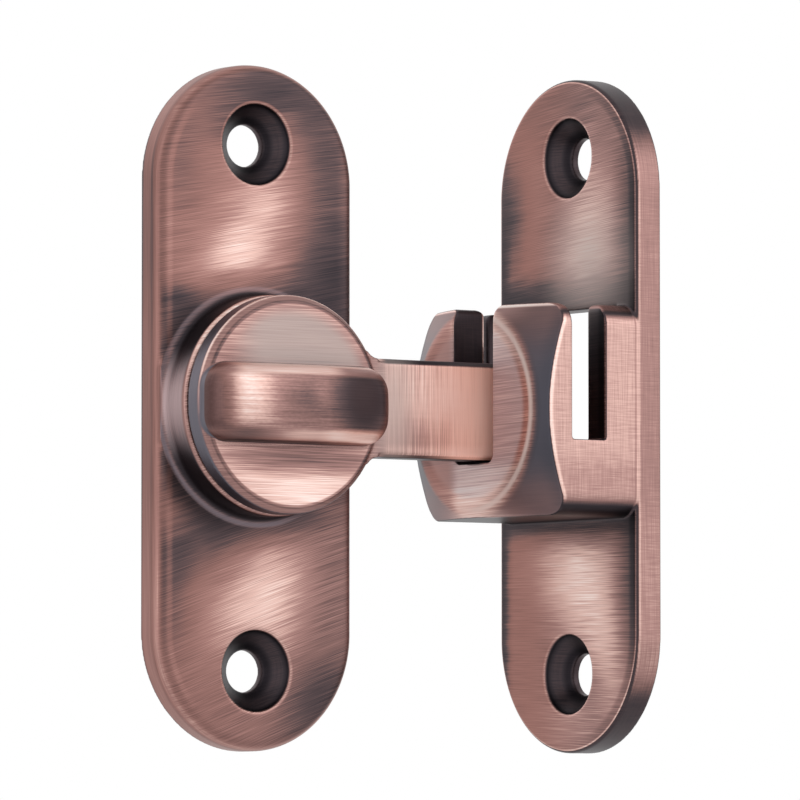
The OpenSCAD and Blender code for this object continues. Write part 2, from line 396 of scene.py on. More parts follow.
def unfold(piece: bpy.types.Object, rounds: int = 6) -> None:
    """Closes the few small folds that rebuilding leaves in a surface.

    Args:
        piece: the piece, in its own millimetres.
        rounds: how often folds are looked for.
    """
    solid = bmesh.new()
    solid.from_mesh(piece.data)
    for _ in range(rounds):
        solid.normal_update()
        folded = set()
        for face in solid.faces:
            beside = [f for edge in face.edges for f in edge.link_faces if f is not face]
            around = sum((f.normal * f.calc_area() for f in beside), Vector())
            if face.normal.dot(around) < 0:
                folded.add(min(face.edges, key=lambda edge: edge.calc_length()))
        if not folded:
            break
        bmesh.ops.collapse(solid, edges=list(folded))
    solid.to_mesh(piece.data)
    solid.free()


def settle(piece: bpy.types.Object) -> None:
    """Applies every modifier of a piece to its mesh.

    Args:
        piece: the piece, whose mesh is exchanged.
    """
    graph = bpy.context.evaluated_depsgraph_get()
    graph.update()
    made = bpy.data.meshes.new_from_object(piece.evaluated_get(graph))
    old = piece.data
    piece.modifiers.clear()
    piece.data = made
    made.name = piece.name
    bpy.data.meshes.remove(old)


class Field:
    """A value that changes over a surface, written as arithmetic and built from Math nodes."""

    def __init__(self, bench: "Bench", socket: bpy.types.NodeSocket) -> None:
        """Wraps an output socket.

        Args:
            bench: the node tree that the socket belongs to.
            socket: the output that carries the value.
        """
        self.bench = bench
        self.socket = socket

    def _combine(self, operation: str, *values: "Field | float") -> "Field":
        """Adds a Math node.

        Args:
            operation: what the node does.
            *values: what it works on.

        Returns:
            The result.
        """
        made = self.bench.node("Math", dict(enumerate(values)), operation=operation)
        return Field(self.bench, made.outputs[0])

    def __add__(self, other: "Field | float") -> "Field":
        """Adds."""
        return self._combine("ADD", self, other)

    def __radd__(self, other: float) -> "Field":
        """Adds this to a number."""
        return self._combine("ADD", other, self)

    def __sub__(self, other: "Field | float") -> "Field":
        """Subtracts."""
        return self._combine("SUBTRACT", self, other)

    def __rsub__(self, other: float) -> "Field":
        """Subtracts this from a number."""
        return self._combine("SUBTRACT", other, self)

    def __mul__(self, other: "Field | float") -> "Field":
        """Multiplies."""
        return self._combine("MULTIPLY", self, other)

    def __neg__(self) -> "Field":
        """Turns the sign."""
        return self * -1.0

    def larger(self, other: "Field | float") -> "Field":
        """Gives the larger of two values."""
        return self._combine("MAXIMUM", self, other)

    def smaller(self, other: "Field | float") -> "Field":
        """Gives the smaller of two values."""
        return self._combine("MINIMUM", self, other)

    def size(self) -> "Field":
        """Gives the value without its sign."""
        return self._combine("ABSOLUTE", self)

    def length(self, other: "Field") -> "Field":
        """Gives the length of the vector that two values make."""
        return self._combine("SQRT", self * self + other * other)

    def soft(self, low: "Field | float", high: "Field | float") -> "Field":
        """Rises smoothly from 0 to 1.

        Args:
            low: value at which it leaves 0.
            high: value at which it reaches 1.

        Returns:
            The rise.
        """
        made = self.bench.node("MapRange", {0: self, 1: low, 2: high},
                               interpolation_type="SMOOTHSTEP")
        return Field(self.bench, made.outputs[0])

    def fade(self, low: "Field | float", high: "Field | float") -> "Field":
        """Falls smoothly from 1 at one value to 0 at the other."""
        return 1.0 - self.soft(low, high)

    def line(self, middle: float, core: float, reach: float) -> "Field":
        """Gives 1 within a core's half width of a value, falling softly to 0 at a reach."""
        return (self - middle).size().fade(core, reach)

    def toward(self, other: "Field | float", share: "Field | float") -> "Field":
        """Moves the value towards another by a share."""
        return self + (-self + other) * share


class Bench:
    """A material's node tree under construction, with a piece's own frame."""

    def __init__(self, name: str, frame_matrix: Matrix) -> None:
        """Starts an empty material.

        Args:
            name: name of the material.
            frame_matrix: transform from the piece's own millimetres to the latch's metres.
        """
        self.material = bpy.data.materials.new(name)
        self.material.use_nodes = True
        self.tree = self.material.node_tree
        self.tree.nodes.clear()
        back = frame_matrix.inverted()
        turn = back.to_euler("XYZ")
        at = self.node("TexCoord").outputs
        place = self.node("Mapping", {"Vector": at["Object"], "Location": back.translation,
                                      "Rotation": turn, "Scale": (1 / MM, 1 / MM, 1 / MM)},
                          vector_type="POINT")
        aim = self.node("Mapping", {"Vector": at["Normal"], "Rotation": turn},
                        vector_type="VECTOR")
        self.across, self.up, self.out = self.parts(place.outputs[0])
        self.aim_across, self.aim_up, self.aim_out = self.parts(aim.outputs[0])
        self.round_axis = self.across.length(self.up)

    def node(self, kind: str, inputs: dict[str | int, object] | None = None,
             **settings: object) -> bpy.types.Node:
        """Adds a node.

        Args:
            kind: the node's type, without its ShaderNode prefix.
            inputs: what its inputs take, by their name or number.
            **settings: properties of the node.

        Returns:
            The node.
        """
        made = self.tree.nodes.new("ShaderNode" + kind)
        for key, value in settings.items():
            setattr(made, key, value)
        for key, value in (inputs or {}).items():
            self.feed(made.inputs[key], value)
        return made

    def feed(self, socket: bpy.types.NodeSocket, value: object) -> None:
        """Links an output to a socket, or sets the socket's own value.

        Args:
            socket: the input.
            value: a field, an output socket, a number, a vector or a colour.
        """
        if isinstance(value, Field):
            value = value.socket
        if isinstance(value, bpy.types.NodeSocket):
            self.tree.links.new(value, socket)
        elif socket.type == "RGBA" and len(value) == 3:
            socket.default_value = (*value, 1.0)
        else:
            socket.default_value = value

    def coat(self, colour: bpy.types.NodeSocket, metallic: Field | float, roughness: Field,
             marks: Field, strength: Field | float, depth: float) -> bpy.types.Material:
        """Ends the material with its shader.

        Args:
            colour: the output that carries the colour.
            metallic: 1 for bare metal, 0 for plastic or dull copper.
            roughness: roughness of the surface.
            marks: the fine marks.
            strength: how strongly they stand out.
            depth: their depth, in millimetres.

        Returns:
            The material.
        """
        bump = self.node("Bump", {"Strength": strength, "Distance": depth * MM, "Height": marks})
        shader = self.node("BsdfPrincipled", {"Metallic": metallic, "Base Color": colour,
                                              "Roughness": roughness, "Normal": bump.outputs[0]})
        self.node("OutputMaterial", {0: shader.outputs[0]})
        return self.material

    def parts(self, vector: bpy.types.NodeSocket) -> tuple[Field, Field, Field]:
        """Splits a vector.

        Args:
            vector: the output that carries it.

        Returns:
            Its three parts.
        """
        split = self.node("SeparateXYZ", {0: vector})
        return tuple(Field(self, part) for part in split.outputs)

    def brushed(self, grain: Triple, tilt: Field | float = 0.0,
                detail: float = 2.0) -> Field:
        """Gives a noise drawn out along the brushing.

        Args:
            grain: size of a stroke along the three axes, in millimetres.
            tilt: how far the strokes rise for each millimetre across.
            detail: the noise's detail.

        Returns:
            A field about 0, mostly between -0.3 and 0.3.
        """
        ways = (self.across, self.up - self.across * tilt, self.out)
        drawn = self.node("CombineXYZ", {number: way * (1 / size)
                                         for number, (way, size) in enumerate(zip(ways, grain))})
        noise = self.node("TexNoise", {"Vector": drawn.outputs[0], "Scale": 1.0, "Detail": detail})
        return Field(self, noise.outputs[0]) - 0.5

    def open_sky(self, reach: float) -> Field:
        """Gives 1 where nothing of the piece stands near, and less in its hollows.

        Args:
            reach: how far it looks, in millimetres.

        Returns:
            The field.
        """
        shade = self.node("AmbientOcclusion", {"Distance": reach * MM}, samples=8, only_local=True)
        return Field(self, shade.outputs["AO"])

    def inset(self, sizes: LatchSizes) -> Field:
        """Gives the distance inward from the outline of a plate, in millimetres."""
        beyond = (self.up.size() - (sizes.plate_h - sizes.plate_w) / 2).larger(0.0)
        return sizes.plate_w / 2 - self.across.length(beyond)

    def back(self) -> Field:
        """Gives 1 on the faces that look straight back."""
        return self.aim_out.fade(*BACKWARD)

    def add_painted_light(self, tone: Field, painted_light_patches: tuple["Touch", ...]) -> Field:
        """Adds each patch of painted highlight or painted shade to a tone."""
        return sum((touch.on(self) for touch in painted_light_patches), tone)

    def patch(self, place: Point, half: Point, angle: float = 0.0) -> Field:
        """Gives 1 in the middle of a soft oval and 0 at its edge and beyond.

        Args:
            place: the oval's middle.
            half: half of its width and height.
            angle: angle of its first axis, in degrees.

        Returns:
            The field.
        """
        c, s = math.cos(math.radians(angle)), math.sin(math.radians(angle))
        a, b = self.across - place[0], self.up - place[1]
        reach = ((a * c + b * s) * (1 / half[0])).length((b * c - a * s) * (1 / half[1]))
        return reach.fade(0.0, 1.0)


@dataclass(frozen=True)
class Touch:
    """A soft patch of painted highlight, or of painted shade where its amount is negative.

    Attributes:
        place: its middle in the piece's own frame, in millimetres.
        half: half of its width and height.
        amount: how much lighter it is, or darker where negative.
        angle: angle of its first axis, in degrees.
    """

    place: Point
    half: Point
    amount: float
    angle: float = 0.0

    def on(self, bench: Bench) -> Field:
        """Gives the change of tone."""
        return bench.patch(self.place, self.half, self.angle) * self.amount


@dataclass(frozen=True)
class AntiqueCopper:
    """Red copper plate, blackened all over and brushed; much of its tone is painted light and
    shade.

    The tone runs from 0, black, over blue-grey and brown to 1, bare light copper; tones above 1 are
    painted highlights, near white. Painted highlights, reflections and shade are set in the tone by
    place and by which way a face looks.

    Attributes:
        name: name of the material.
        stops: tone and colour pairs.
        tarnish_and_reflection: colour of the thin grey film on some faces, also a painted grey
            reflection on the bar just past the grip.
        brown: colour of the copper where the black is rubbed thin, also the painted dark reflection
            on the grip.
        mauve: colour of the same film where it lies on bare copper, also a painted sheen on the lit
            side of the boss.
        ruddy_highlight: colour of the painted bright copper highlights on the bar and the grip.
        gunmetal: colour of the smooth dark film, laid on the cheek's cone as a painted dark
            reflection.
        steel_grey: colour of the lighter blue-grey film, also of the painted highlight line along
            the boss's foot.
        highlight_colour: colour of the painted highlights on the cheek's crest and top edge.
        stroke: length and width of a brush stroke, in millimetres.
        stroke_reach: how far a stroke keeps its shade into the metal, in widths.
        contrast: how strongly the strokes change a light tone.
        dark_contrast: how strongly they change a dark one.
        roughness: roughness of the brushed copper.
        rough_marks: how strongly the strokes change it.
        depth: depth of the strokes, in millimetres.
    """

    name: str
    stops: tuple[tuple[float, Colour], ...] = (
        (0.00, (0.010, 0.009, 0.012)),
        (0.20, (0.046, 0.037, 0.042)),
        (0.36, (0.104, 0.070, 0.072)),
        (0.55, (0.222, 0.126, 0.116)),
        (0.76, (0.380, 0.218, 0.198)),
        (1.00, (0.740, 0.490, 0.430)),
        # Near white, for painted highlights.
        (1.25, (0.950, 0.830, 0.780)),
    )
    tarnish_and_reflection: Colour = (0.39, 0.325, 0.305)
    brown: Colour = (0.34, 0.145, 0.115)
    mauve: Colour = (0.45, 0.365, 0.385)
    ruddy_highlight: Colour = (0.93, 0.47, 0.36)
    gunmetal: Colour = (0.105, 0.105, 0.130)
    steel_grey: Colour = (0.150, 0.155, 0.190)
    highlight_colour: Colour = (0.80, 0.69, 0.64)
    stroke: Point = (8.0, 0.11)
    stroke_reach: float = 18.0
    contrast: float = 0.72
    dark_contrast: float = 0.18
    roughness: float = 0.42
    rough_marks: float = 0.20
    depth: float = 0.012

    def strokes(self, bench: Bench, run: Way, face: Way, tilt: Field | float = 0.0,
                stroke: Point | None = None) -> Field:
        """Gives fine brush strokes.

        Args:
            bench: the bench of the piece's material.
            run: the way that the strokes run.
            face: the way that the brushed face looks.
            tilt: how far the strokes rise for each millimetre across.
            stroke: length and width of a stroke, where it isn't the usual one.

        Returns:
            A field about 0.
        """
        length, width = stroke or self.stroke
        grain = [width, width, width]
        grain[face.value] = width * self.stroke_reach
        grain[run.value] = length
        return bench.brushed(tuple(grain), tilt)

    def round_sides(self, bench: Bench, front: Field, flanks: Field) -> Field:
        """Changes the strokes where a face looks sideways, up or down.

        Args:
            bench: the bench of the piece's material.
            front: strokes of the front and back.
            flanks: strokes of the faces that look sideways.

        Returns:
            The strokes of all faces.
        """
        ends = self.strokes(bench, Way.ACROSS, Way.UP) * 0.5
        lines = front.toward(flanks, bench.aim_across.size().soft(0.5, 0.9))
        return lines.toward(ends, bench.aim_up.size().soft(0.5, 0.9))

    def make(self, bench: Bench, tone: Field, lines: Field,
             films: tuple[tuple[Field, Colour], ...],
             bloom: Field | None = None) -> bpy.types.Material:
        """Builds the material.

        Args:
            bench: the bench that the fields were made on.
            tone: the tone before brushing.
            lines: the brush strokes.
            films: share and colour of each film, painted highlight or painted reflection over the
                tone.
            bloom: share of dull, unpolished copper, which takes light from all sides.

        Returns:
            The material.
        """
        shade = tone + lines * (tone.soft(0.10, 0.5) * self.contrast + self.dark_contrast)
        brightest = self.stops[-1][0]
        ramp = bench.node("ValToRGB", {0: shade * (1 / brightest)})
        ramp.color_ramp.interpolation = "LINEAR"
        while len(ramp.color_ramp.elements) < len(self.stops):
            ramp.color_ramp.elements.new(0.5)
        for element, (place, colour) in zip(ramp.color_ramp.elements, self.stops):
            element.position = place / brightest
            element.color = (*colour, 1.0)
        colour = ramp.outputs[0]
        for share, tint in films:
            cover = share * (lines * 0.5 + 0.9)
            colour = bench.node("Mix", {0: cover, 6: colour, 7: tint}, data_type="RGBA").outputs[2]
        return bench.coat(colour, 1.0 if bloom is None else 1.0 - bloom,
                          lines * self.rough_marks + self.roughness, lines,
                          tone.soft(0.1, 0.6) * 0.22 + 0.03, self.depth)


@dataclass(frozen=True)
class PlainFinish:
    """A finish of the hidden pivot: machined metal or moulded plastic.

    Attributes:
        name: name of the material.
        colour: its colour.
        metallic: 1 for metal, 0 for plastic.
        roughness: its mean roughness.
        marks: size of its fine marks across, up and out, in millimetres.
        stains: size of its darker places, in the same way.
        stain: how much of the colour they keep.
        depth: depth of the marks, in millimetres.
    """

    name: str
    colour: Colour
    metallic: float
    roughness: float
    marks: Triple = (0.4, 0.4, 0.4)
    stains: Triple = (4.0, 4.0, 4.0)
    stain: float = 0.62
    depth: float = 0.02

    def make(self) -> bpy.types.Material:
        """Builds the material.

        Returns:
            The material.
        """
        bench = Bench(self.name, Place.FRONT.matrix(LatchSizes()))
        marks = bench.brushed(self.marks)
        stained = bench.brushed(self.stains).soft(-0.15, 0.2)
        darker = tuple(part * self.stain for part in self.colour)
        colour = bench.node("Mix", {0: stained, 6: self.colour, 7: darker}, data_type="RGBA")
        return bench.coat(colour.outputs[2], self.metallic, marks * 0.3 + self.roughness, marks,
                          0.2, self.depth)


def dress(piece: bpy.types.Object, finish: bpy.types.Material) -> None:
    """Gives a piece one material."""
    piece.data.materials.clear()
    piece.data.materials.append(finish)


def stand_for(piece: bpy.types.Object, finish: bpy.types.Material, node: str, body: str) -> None:
    """Dresses a piece and puts it in a CAD node's stead.

    Args:
        piece: the piece.
        finish: its material.
        node: the CAD node that it replaces.
        body: the body that it rides on.
    """
    dress(piece, finish)
    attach(piece, body)
    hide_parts(node)
    log.info("%s: %d faces", piece.name, len(piece.data.polygons))


@dataclass
class ScrewHole:
    """A countersunk screw hole with a softened rim.

    Attributes:
        sizes: the shared sizes.
        cone_angle: full angle of the cone, in degrees.
        rim_r: radius of the softened rim.
        cone_tone: tone of the cone, darkened as painted shade and black film.
        bore_light: how much lighter the bore is.
        band_r: radius of a painted highlight band on the cone.
        band_highlight: how much lighter the painted highlight band is.
        rim_wear_and_highlight_tone: tone of the rim, a painted highlight and edge wear.
    """

    sizes: LatchSizes
    cone_angle: float = 90.0
    rim_r: float = 0.25
    cone_tone: float = 0.07
    bore_light: float = 0.18
    band_r: float = 4.3
    band_highlight: float = 0.16
    rim_wear_and_highlight_tone: float = 0.88

    def darken(self, tone: Field) -> Field:
        """Darkens the holes, as painted shade and black film, paints a highlight band on each cone
        and brightens the rims, as painted highlight and edge wear.

        Args:
            tone: tone of the plate.

        Returns:
            The tone with the holes in it.
        """
        bench, s = tone.bench, self.sizes
        away = bench.across.length(bench.up.size() - s.screw_pitch / 2)
        # Painted highlight band on the cone.
        band = away.line(self.band_r, 0.3, 1.0) * self.band_highlight
        bore = away.fade(s.screw_hole_r + 0.05, s.screw_hole_r + 0.35) * self.bore_light
        wall = band + self.cone_tone + bore - away.soft(s.sink_r - 0.3, s.sink_r - 0.1) * 0.03
        # Bright rim: painted highlight and edge wear.
        rim = away.line(s.sink_r + 0.15, 0.05, 0.4) \
            * bench.out.soft(s.plate_t - 0.6, s.plate_t - 0.2)
        inside = away.fade(s.sink_r - 0.1, s.sink_r + 0.12) * (1.0 - bench.back())
        return tone.toward(self.rim_wear_and_highlight_tone, rim * 0.8).toward(wall, inside)

    def cutters(self) -> list[BMesh]:
        """Gives the solids that cut both holes of a plate.

        Returns:
            The cutters, the lower one first.
        """
        s = self.sizes
        below, beyond = -1, s.plate_t + 3
        cone_h = (s.sink_r - s.screw_hole_r) / math.tan(math.radians(self.cone_angle / 2))
        cone_top = s.plate_t - s.sink_step
        rim = s.sink_r + self.rim_r
        flare = arc(rim, s.plate_t - self.rim_r, self.rim_r, 180, 90, steps=6)
        profile = [(0, below), (s.screw_hole_r, below), (s.screw_hole_r, cone_top - cone_h),
                   (s.sink_r, cone_top), *flare, (rim, beyond), (0, beyond)]
        middle = s.screw_pitch / 2
        return [turned(lathe(profile, steps=128), Matrix.Translation((0, side * middle, 0)))
                for side in (-1, 1)]


@dataclass
class KnobPlate:
    """The left plate with its boss: sizes in millimetres, and tones from black to bare copper."""

    sizes: LatchSizes
    edge_r: float = 1.5
    boss_edge_r: float = 0.7
    foot_r: float = 1.3
    foot_in: float = 0.4
    recess_r: float = 9.0
    recess_depth: float = 3.0
    bore_r: float = 5.5
    brush_rise: float = 0.25
    brush_fan: float = -0.0032
    front_tone: float = 0.56
    side_tone: float = 0.56
    skirt_tone: float = 0.15
    skirt_painted_light: float = 0.50
    boss_rim_tone: float = 0.74
    crease_highlight_tone: float = 0.66
    hollow_shade_tone: float = 0.14
    warmth: float = 0.34
    boss_shade_span: Span = (14.8, 20.8)
    boss_from: Span = (4.05, 4.5)
    # Painted highlight bands and painted shade on the front.
    painted_light_patches: tuple[Touch, ...] = (
        Touch((-0.5, 24.5), (10.0, 17.0), 0.32, -18.0),
        Touch((2.5, 26.0), (5.0, 9.0), 0.05, -12.0),
        Touch((-4.0, 18.0), (11.0, 8.0), 0.29),
        Touch((-13.0, 13.5), (5.5, 5.0), -0.22),
        Touch((13.0, 19.0), (9.5, 20.0), -0.30),
        Touch((11.0, 35.0), (8.0, 10.0), -0.18),
        Touch((-12.0, 32.0), (5.0, 10.0), -0.12),
        Touch((2.0, 41.5), (20.0, 10.0), -0.27, 12.0),
        Touch((14.5, 26.0), (2.2, 20.0), 0.10),
        Touch((1.5, -25.0), (10.5, 15.0), 0.46, -18.0),
        Touch((-7.0, -28.0), (8.0, 11.0), 0.14),
        Touch((-13.0, -25.0), (5.5, 13.0), -0.17),
        Touch((-9.0, -18.0), (12.0, 7.0), -0.20, 12.0),
        Touch((9.0, 17.5), (12.0, 6.0), -0.08, -20.0),
        Touch((10.0, -38.0), (12.0, 7.0), -0.28, 40.0),
    )

    def front(self, bench: Bench, tilt: Field) -> Field:
        """Gives the tone of the plate's front, with painted highlights, and with painted shade and
        dark film round the boss.

        Args:
            bench: the bench of the piece's material.
            tilt: how far the strokes rise for each millimetre across.

        Returns:
            The tone.
        """
        wander = bench.brushed(BROAD_MARK, tilt, detail=3.0)
        cloud = bench.brushed((14.0, 4.0, 4.0), tilt)
        flat = bench.add_painted_light(wander * 0.09 + cloud * 0.10 + self.front_tone, self.painted_light_patches)
        # Painted shade and dark film round the boss.
        clear = (bench.round_axis + wander * 2.5).soft(*self.boss_shade_span)
        return flat * (clear * 0.50 + 0.50)

    def side(self, bench: Bench) -> Field:
        """Gives the tone of the plate's edge, darker at the back and beside the boss.

        Args:
            bench: the bench of the piece's material.

        Returns:
            The tone.
        """
        y, n = bench.up, bench.out
        tone = self.side_tone - y.soft(5.0, 20.0) * 0.07 + y.soft(28.0, 40.0) * 0.14
        tone = tone + (-y).soft(8.0, 26.0) * 0.13 - n.fade(0.0, 0.7) * 0.34
        return tone + n.line(3.3, 0.1, 0.5) * 0.10 - n.line(2.5, 0.1, 0.4) * 0.10

    def skirt(self, bench: Bench, lit: Field) -> Field:
        """Gives the tone of the boss's side and of its rim; the rim is a painted highlight, lighter
        towards the top.

        Args:
            bench: the bench of the piece's material.
            lit: 1 on the side of the skirt that is painted lit.

        Returns:
            The tone.
        """
        # The rim: a painted highlight, lighter towards the top.
        rim = bench.up.soft(1.0, 9.0) * 0.30 + self.boss_rim_tone
        top = self.sizes.boss_top
        return (lit * self.skirt_painted_light + self.skirt_tone).toward(
            rim, bench.out.soft(top - 0.7, top - 0.3))

    def crease_highlight(self, bench: Bench) -> Field:
        """Gives the share of the painted highlight line along the boss's foot.

        Args:
            bench: the bench of the piece's material.

        Returns:
            The share.
        """
        n = bench.out
        low = n.soft(3.9, 4.0) * n.fade(4.5, 4.8)
        left = bench.across.fade(2.0, 9.0) * (0.7 - bench.up.soft(-4.0, 6.0) * 0.4)
        return bench.round_axis.line(self.sizes.boss_r + self.foot_r - 0.35, 0.12, 0.5) * low * left

    def finish(self) -> bpy.types.Material:
        """Gives the copper with painted highlights, and with painted shade and dark film round the
        boss.

        Returns:
            The material.
        """
        s = self.sizes
        copper = AntiqueCopper("antique_copper_knob_plate")
        bench = Bench(copper.name, Place.FRONT.matrix(s))
        x, y, n = bench.across, bench.up, bench.out
        tilt = y * self.brush_fan + self.brush_rise
        face = bench.aim_out.soft(0.62, 0.97) * n.soft(3.0, 3.9)
        above = n.soft(*self.boss_from)
        # The side of the boss that is painted lit.
        lit = (x * 0.10 + y.size() * 0.10).fade(-1.45, -0.45)
        crease_highlight = self.crease_highlight(bench)
        # Painted highlight along the rounded left edge of the front.
        edge_highlight = bench.inset(s).line(1.9, 0.1, 0.7) * n.soft(3.8, 3.95) * x.fade(-13.0, -9.0)
        # Painted shade in the hollow round the boss's foot, partly the dark film left there, less
        # on the lit side.
        hollow = bench.open_sky(2.5).fade(0.25, 0.75) * (1.0 - above * lit * 0.6) * 0.9
        tone = self.side(bench).toward(self.front(bench, tilt), face) + edge_highlight * 0.10
        tone = tone.toward(self.skirt(bench, lit), above)
        tone = tone.toward(self.hollow_shade_tone, hollow).toward(self.crease_highlight_tone, crease_highlight)
        tone = ScrewHole(s).darken(tone.toward(BACK_TONE, bench.back()))
        lines = copper.round_sides(bench, copper.strokes(bench, Way.ACROSS, Way.OUT, tilt),
                                   copper.strokes(bench, Way.UP, Way.ACROSS) * 0.5)
        # Painted light: a mauve sheen on the lit side of the boss.
        lit_skirt_sheen = lit * above * n.fade(s.boss_top - 0.9, s.boss_top - 0.5) * 0.6
        left = (y * 0.12 - x).soft(-22.0, 10.0) * self.warmth
        warm = (1.0 - above) * left * tone.soft(0.30, 0.55) * (1.0 - tone.soft(0.70, 0.95) * 0.75)
        films = ((warm, copper.brown), (lit_skirt_sheen, copper.mauve), (crease_highlight, copper.steel_grey))
        return copper.make(bench, tone, lines, films)

    def boss(self) -> BMesh:
        """Gives the boss, with a hollow foot that stays inside the plate's outline.

        Returns:
            The solid.
        """
        s, r, edge = self.sizes, self.foot_r, self.boss_edge_r
        foot = arc(s.boss_r + r, s.plate_t + r, r, 270, 180, steps=16)
        rim = arc(s.boss_r - edge, s.boss_top - edge, edge, 0, 90)
        skirt = lathe([(0, 1), (s.boss_r + r, 1), *foot, *rim, (0, s.boss_top)], steps=360)
        inset = 2 * self.foot_in
        outline = stadium(s.plate_w - inset, s.plate_h - inset, s.boss_top + 1, edge_r=0.1)
        return Casting("boss", skirt).keep_inside(outline).lump()

    def build(self) -> None:
        """Makes the finished plate."""
        s = self.sizes
        below, beyond = -1, s.boss_top + 1
        bore = lathe([(0, below), (self.recess_r, below), (self.recess_r, self.recess_depth),
                      (self.bore_r, self.recess_depth), (self.bore_r, beyond), (0, beyond)],
                     steps=192)
        casting = Casting("knob_plate_cast", stadium(s.plate_w, s.plate_h, s.plate_t, self.edge_r))
        casting.join(self.boss()).cut(bore, *ScrewHole(s).cutters())
        piece = casting.pour(Place.FRONT.matrix(s))
        stand_for(piece, self.finish(), "knob_plate", "mounted")


@dataclass
class FlipBar:
    """The thumb-turn with its bar and hammer head: sizes, and tones from black to bare copper."""

    sizes: LatchSizes
    disc_r: float = 14.3
    disc_edge: float = 0.85
    grip_l: float = 28.0
    grip_w: float = 10.2
    grip_h: float = 5.0
    grip_drop: float = 1.7
    grip_rise: float = 0.7
    grip_corner_r: float = 3.3
    grip_edge_r: float = 2.5
    grip_cuts: int = 12
    bar_bevel: float = 0.6
    bar_blend_r: float = 2.0
    bar_root: float = 15.0
    head_w: float = 11.0
    head_t: float = 2.8
    head_corner_r: float = 2.2
    seat_r: float = 4.0
    seat_depth: float = 2.2
    disc_tone: float = 0.95
    chamfer_tone: float = 0.68
    disc_rim_highlight_tone: float = 1.12
    bar_tone: float = 0.90
    bar_top_shade_tone: float = 0.14
    bar_foot_shade_tone: float = 0.20
    shaft_tone: float = 0.42
    head_tone: float = 0.40
    seam_shadow_tone: float = 0.06
    grip_tone: float = 0.76
    grip_dark_reflection_tone: float = 0.14
    grip_highlight_tone: float = 1.16
    grip_end_tone: float = 0.56
    grip_dark_reflection: tuple[Point, Point] = ((8.6, 1.0), (9.2, 10.5))
    bar_from: Span = (14.2, 15.6)
    # Painted shade in bands beside the grip and a painted highlight low on the disc.
    disc_painted_light: tuple[Touch, ...] = (
        Touch((2.0, -7.0), (22.0, 3.2), -0.42),
        Touch((1.0, 5.6), (20.0, 2.4), -0.30),
        Touch((3.0, -11.5), (12.0, 4.5), 0.16),
    )
    # Painted highlights and painted dark reflections on the grip's top.
    grip_painted_light: tuple[Touch, ...] = (
        Touch((-15.2, 0.0), (5.2, 20.0), -0.75),
        Touch((-9.6, 0.6), (6.0, 8.0), 0.30),
        Touch((-10.0, 3.0), (5.0, 2.4), 0.10),
        Touch((0.6, 0.5), (9.5, 5.5), -0.34),
        Touch((1.6, 0.9), (3.0, 2.6), 0.16),
        Touch((-10.5, -4.6), (7.0, 3.0), -0.26),
    )
    # Painted highlights, brightest towards the bar's far end, and painted shade low near its root.
    bar_painted_light: tuple[Touch, ...] = (
        Touch((19.0, -5.0), (11.0, 6.0), -0.22),
        Touch((27.0, -5.6), (30.0, 1.4), 0.20),
        Touch((31.0, 0.0), (9.0, 12.0), 0.36),
        Touch((23.5, 1.5), (8.0, 8.0), 0.12),
    )

    def fronts(self, bench: Bench, past: Field) -> Field:
        """Gives the tone of the disc's and the bar's front, with painted highlights, and painted
        shade beside the grip and on the bar's top and bottom bevels.

        Args:
            bench: the bench of the piece's material.
            past: 0 on the disc and 1 on the bar.

        Returns:
            The tone.
        """
        y, flat_r = bench.up, self.disc_r - self.disc_edge
        wander = bench.brushed((6.0, 0.7, 1.5), 0.0, detail=3.0)
        disc = self.disc_tone - y.soft(3.0, 7.0) * 0.16 + wander * 0.10
        disc = bench.add_painted_light(disc, self.disc_painted_light).toward(
            wander * 0.2 + self.chamfer_tone, bench.round_axis.soft(flat_r - 0.1, flat_r + 0.15))
        disc = disc - bench.round_axis.line(flat_r - 0.1, 0.08, 0.35) * 0.30
        flat = self.sizes.bar_h / 2 - self.bar_bevel
        bar = bench.add_painted_light(wander * 0.10 + self.bar_tone, self.bar_painted_light)
        # Painted shade on the bar's top and bottom bevels.
        bar = bar.toward(self.bar_top_shade_tone, y.soft(flat - 0.2, flat + 0.05))
        bar = bar.toward(self.bar_foot_shade_tone, (-y).soft(flat + 0.1, flat + 0.3))
        return disc.toward(bar, past)

    def grip_front(self, bench: Bench) -> Field:
        """Gives the tone of the grip, much of it painted light: a painted highlight at a quarter, a
        painted dark reflection near the far end, and painted highlight lines on its edges.

        Args:
            bench: the bench of the piece's material.

        Returns:
            The tone.
        """
        x, up, along = bench.across, bench.aim_up, bench.aim_across
        mottle = bench.brushed((0.7, 0.28, 0.6), 0.0, detail=3.0)
        top = bench.add_painted_light(mottle * 0.20 + self.grip_tone, self.grip_painted_light)
        # Painted dark reflection near the far end.
        top = top.toward(self.grip_dark_reflection_tone, bench.patch(*self.grip_dark_reflection).soft(0.05, 0.95))
        # Painted light by which way a face looks: the lower and upper flanks lighter, their left
        # ends darker.
        lower = 0.94 - x.fade(-10.0, -1.0) * 0.48 - (-up).soft(0.90, 0.98) * 0.5 \
            + x.soft(1.0, 5.0) * 0.18
        upper = 1.04 - x.fade(-13.0, -9.0) * 0.50 - x.soft(3.0, 7.0) * x.fade(10.0, 13.0) * 0.34
        tone = top.toward(lower, (-up).soft(0.35, 0.66)).toward(upper, up.soft(0.40, 0.66))
        # Painted highlight lines along the grip's upper edge and round its ends.
        tone = tone.toward(self.grip_highlight_tone, up.soft(0.84, 0.94) * x.soft(-10.0, -6.0))
        tone = tone.toward(self.grip_end_tone, along.soft(0.30, 0.62))
        return tone.toward(self.grip_highlight_tone, along.line(0.86, 0.06, 0.14))

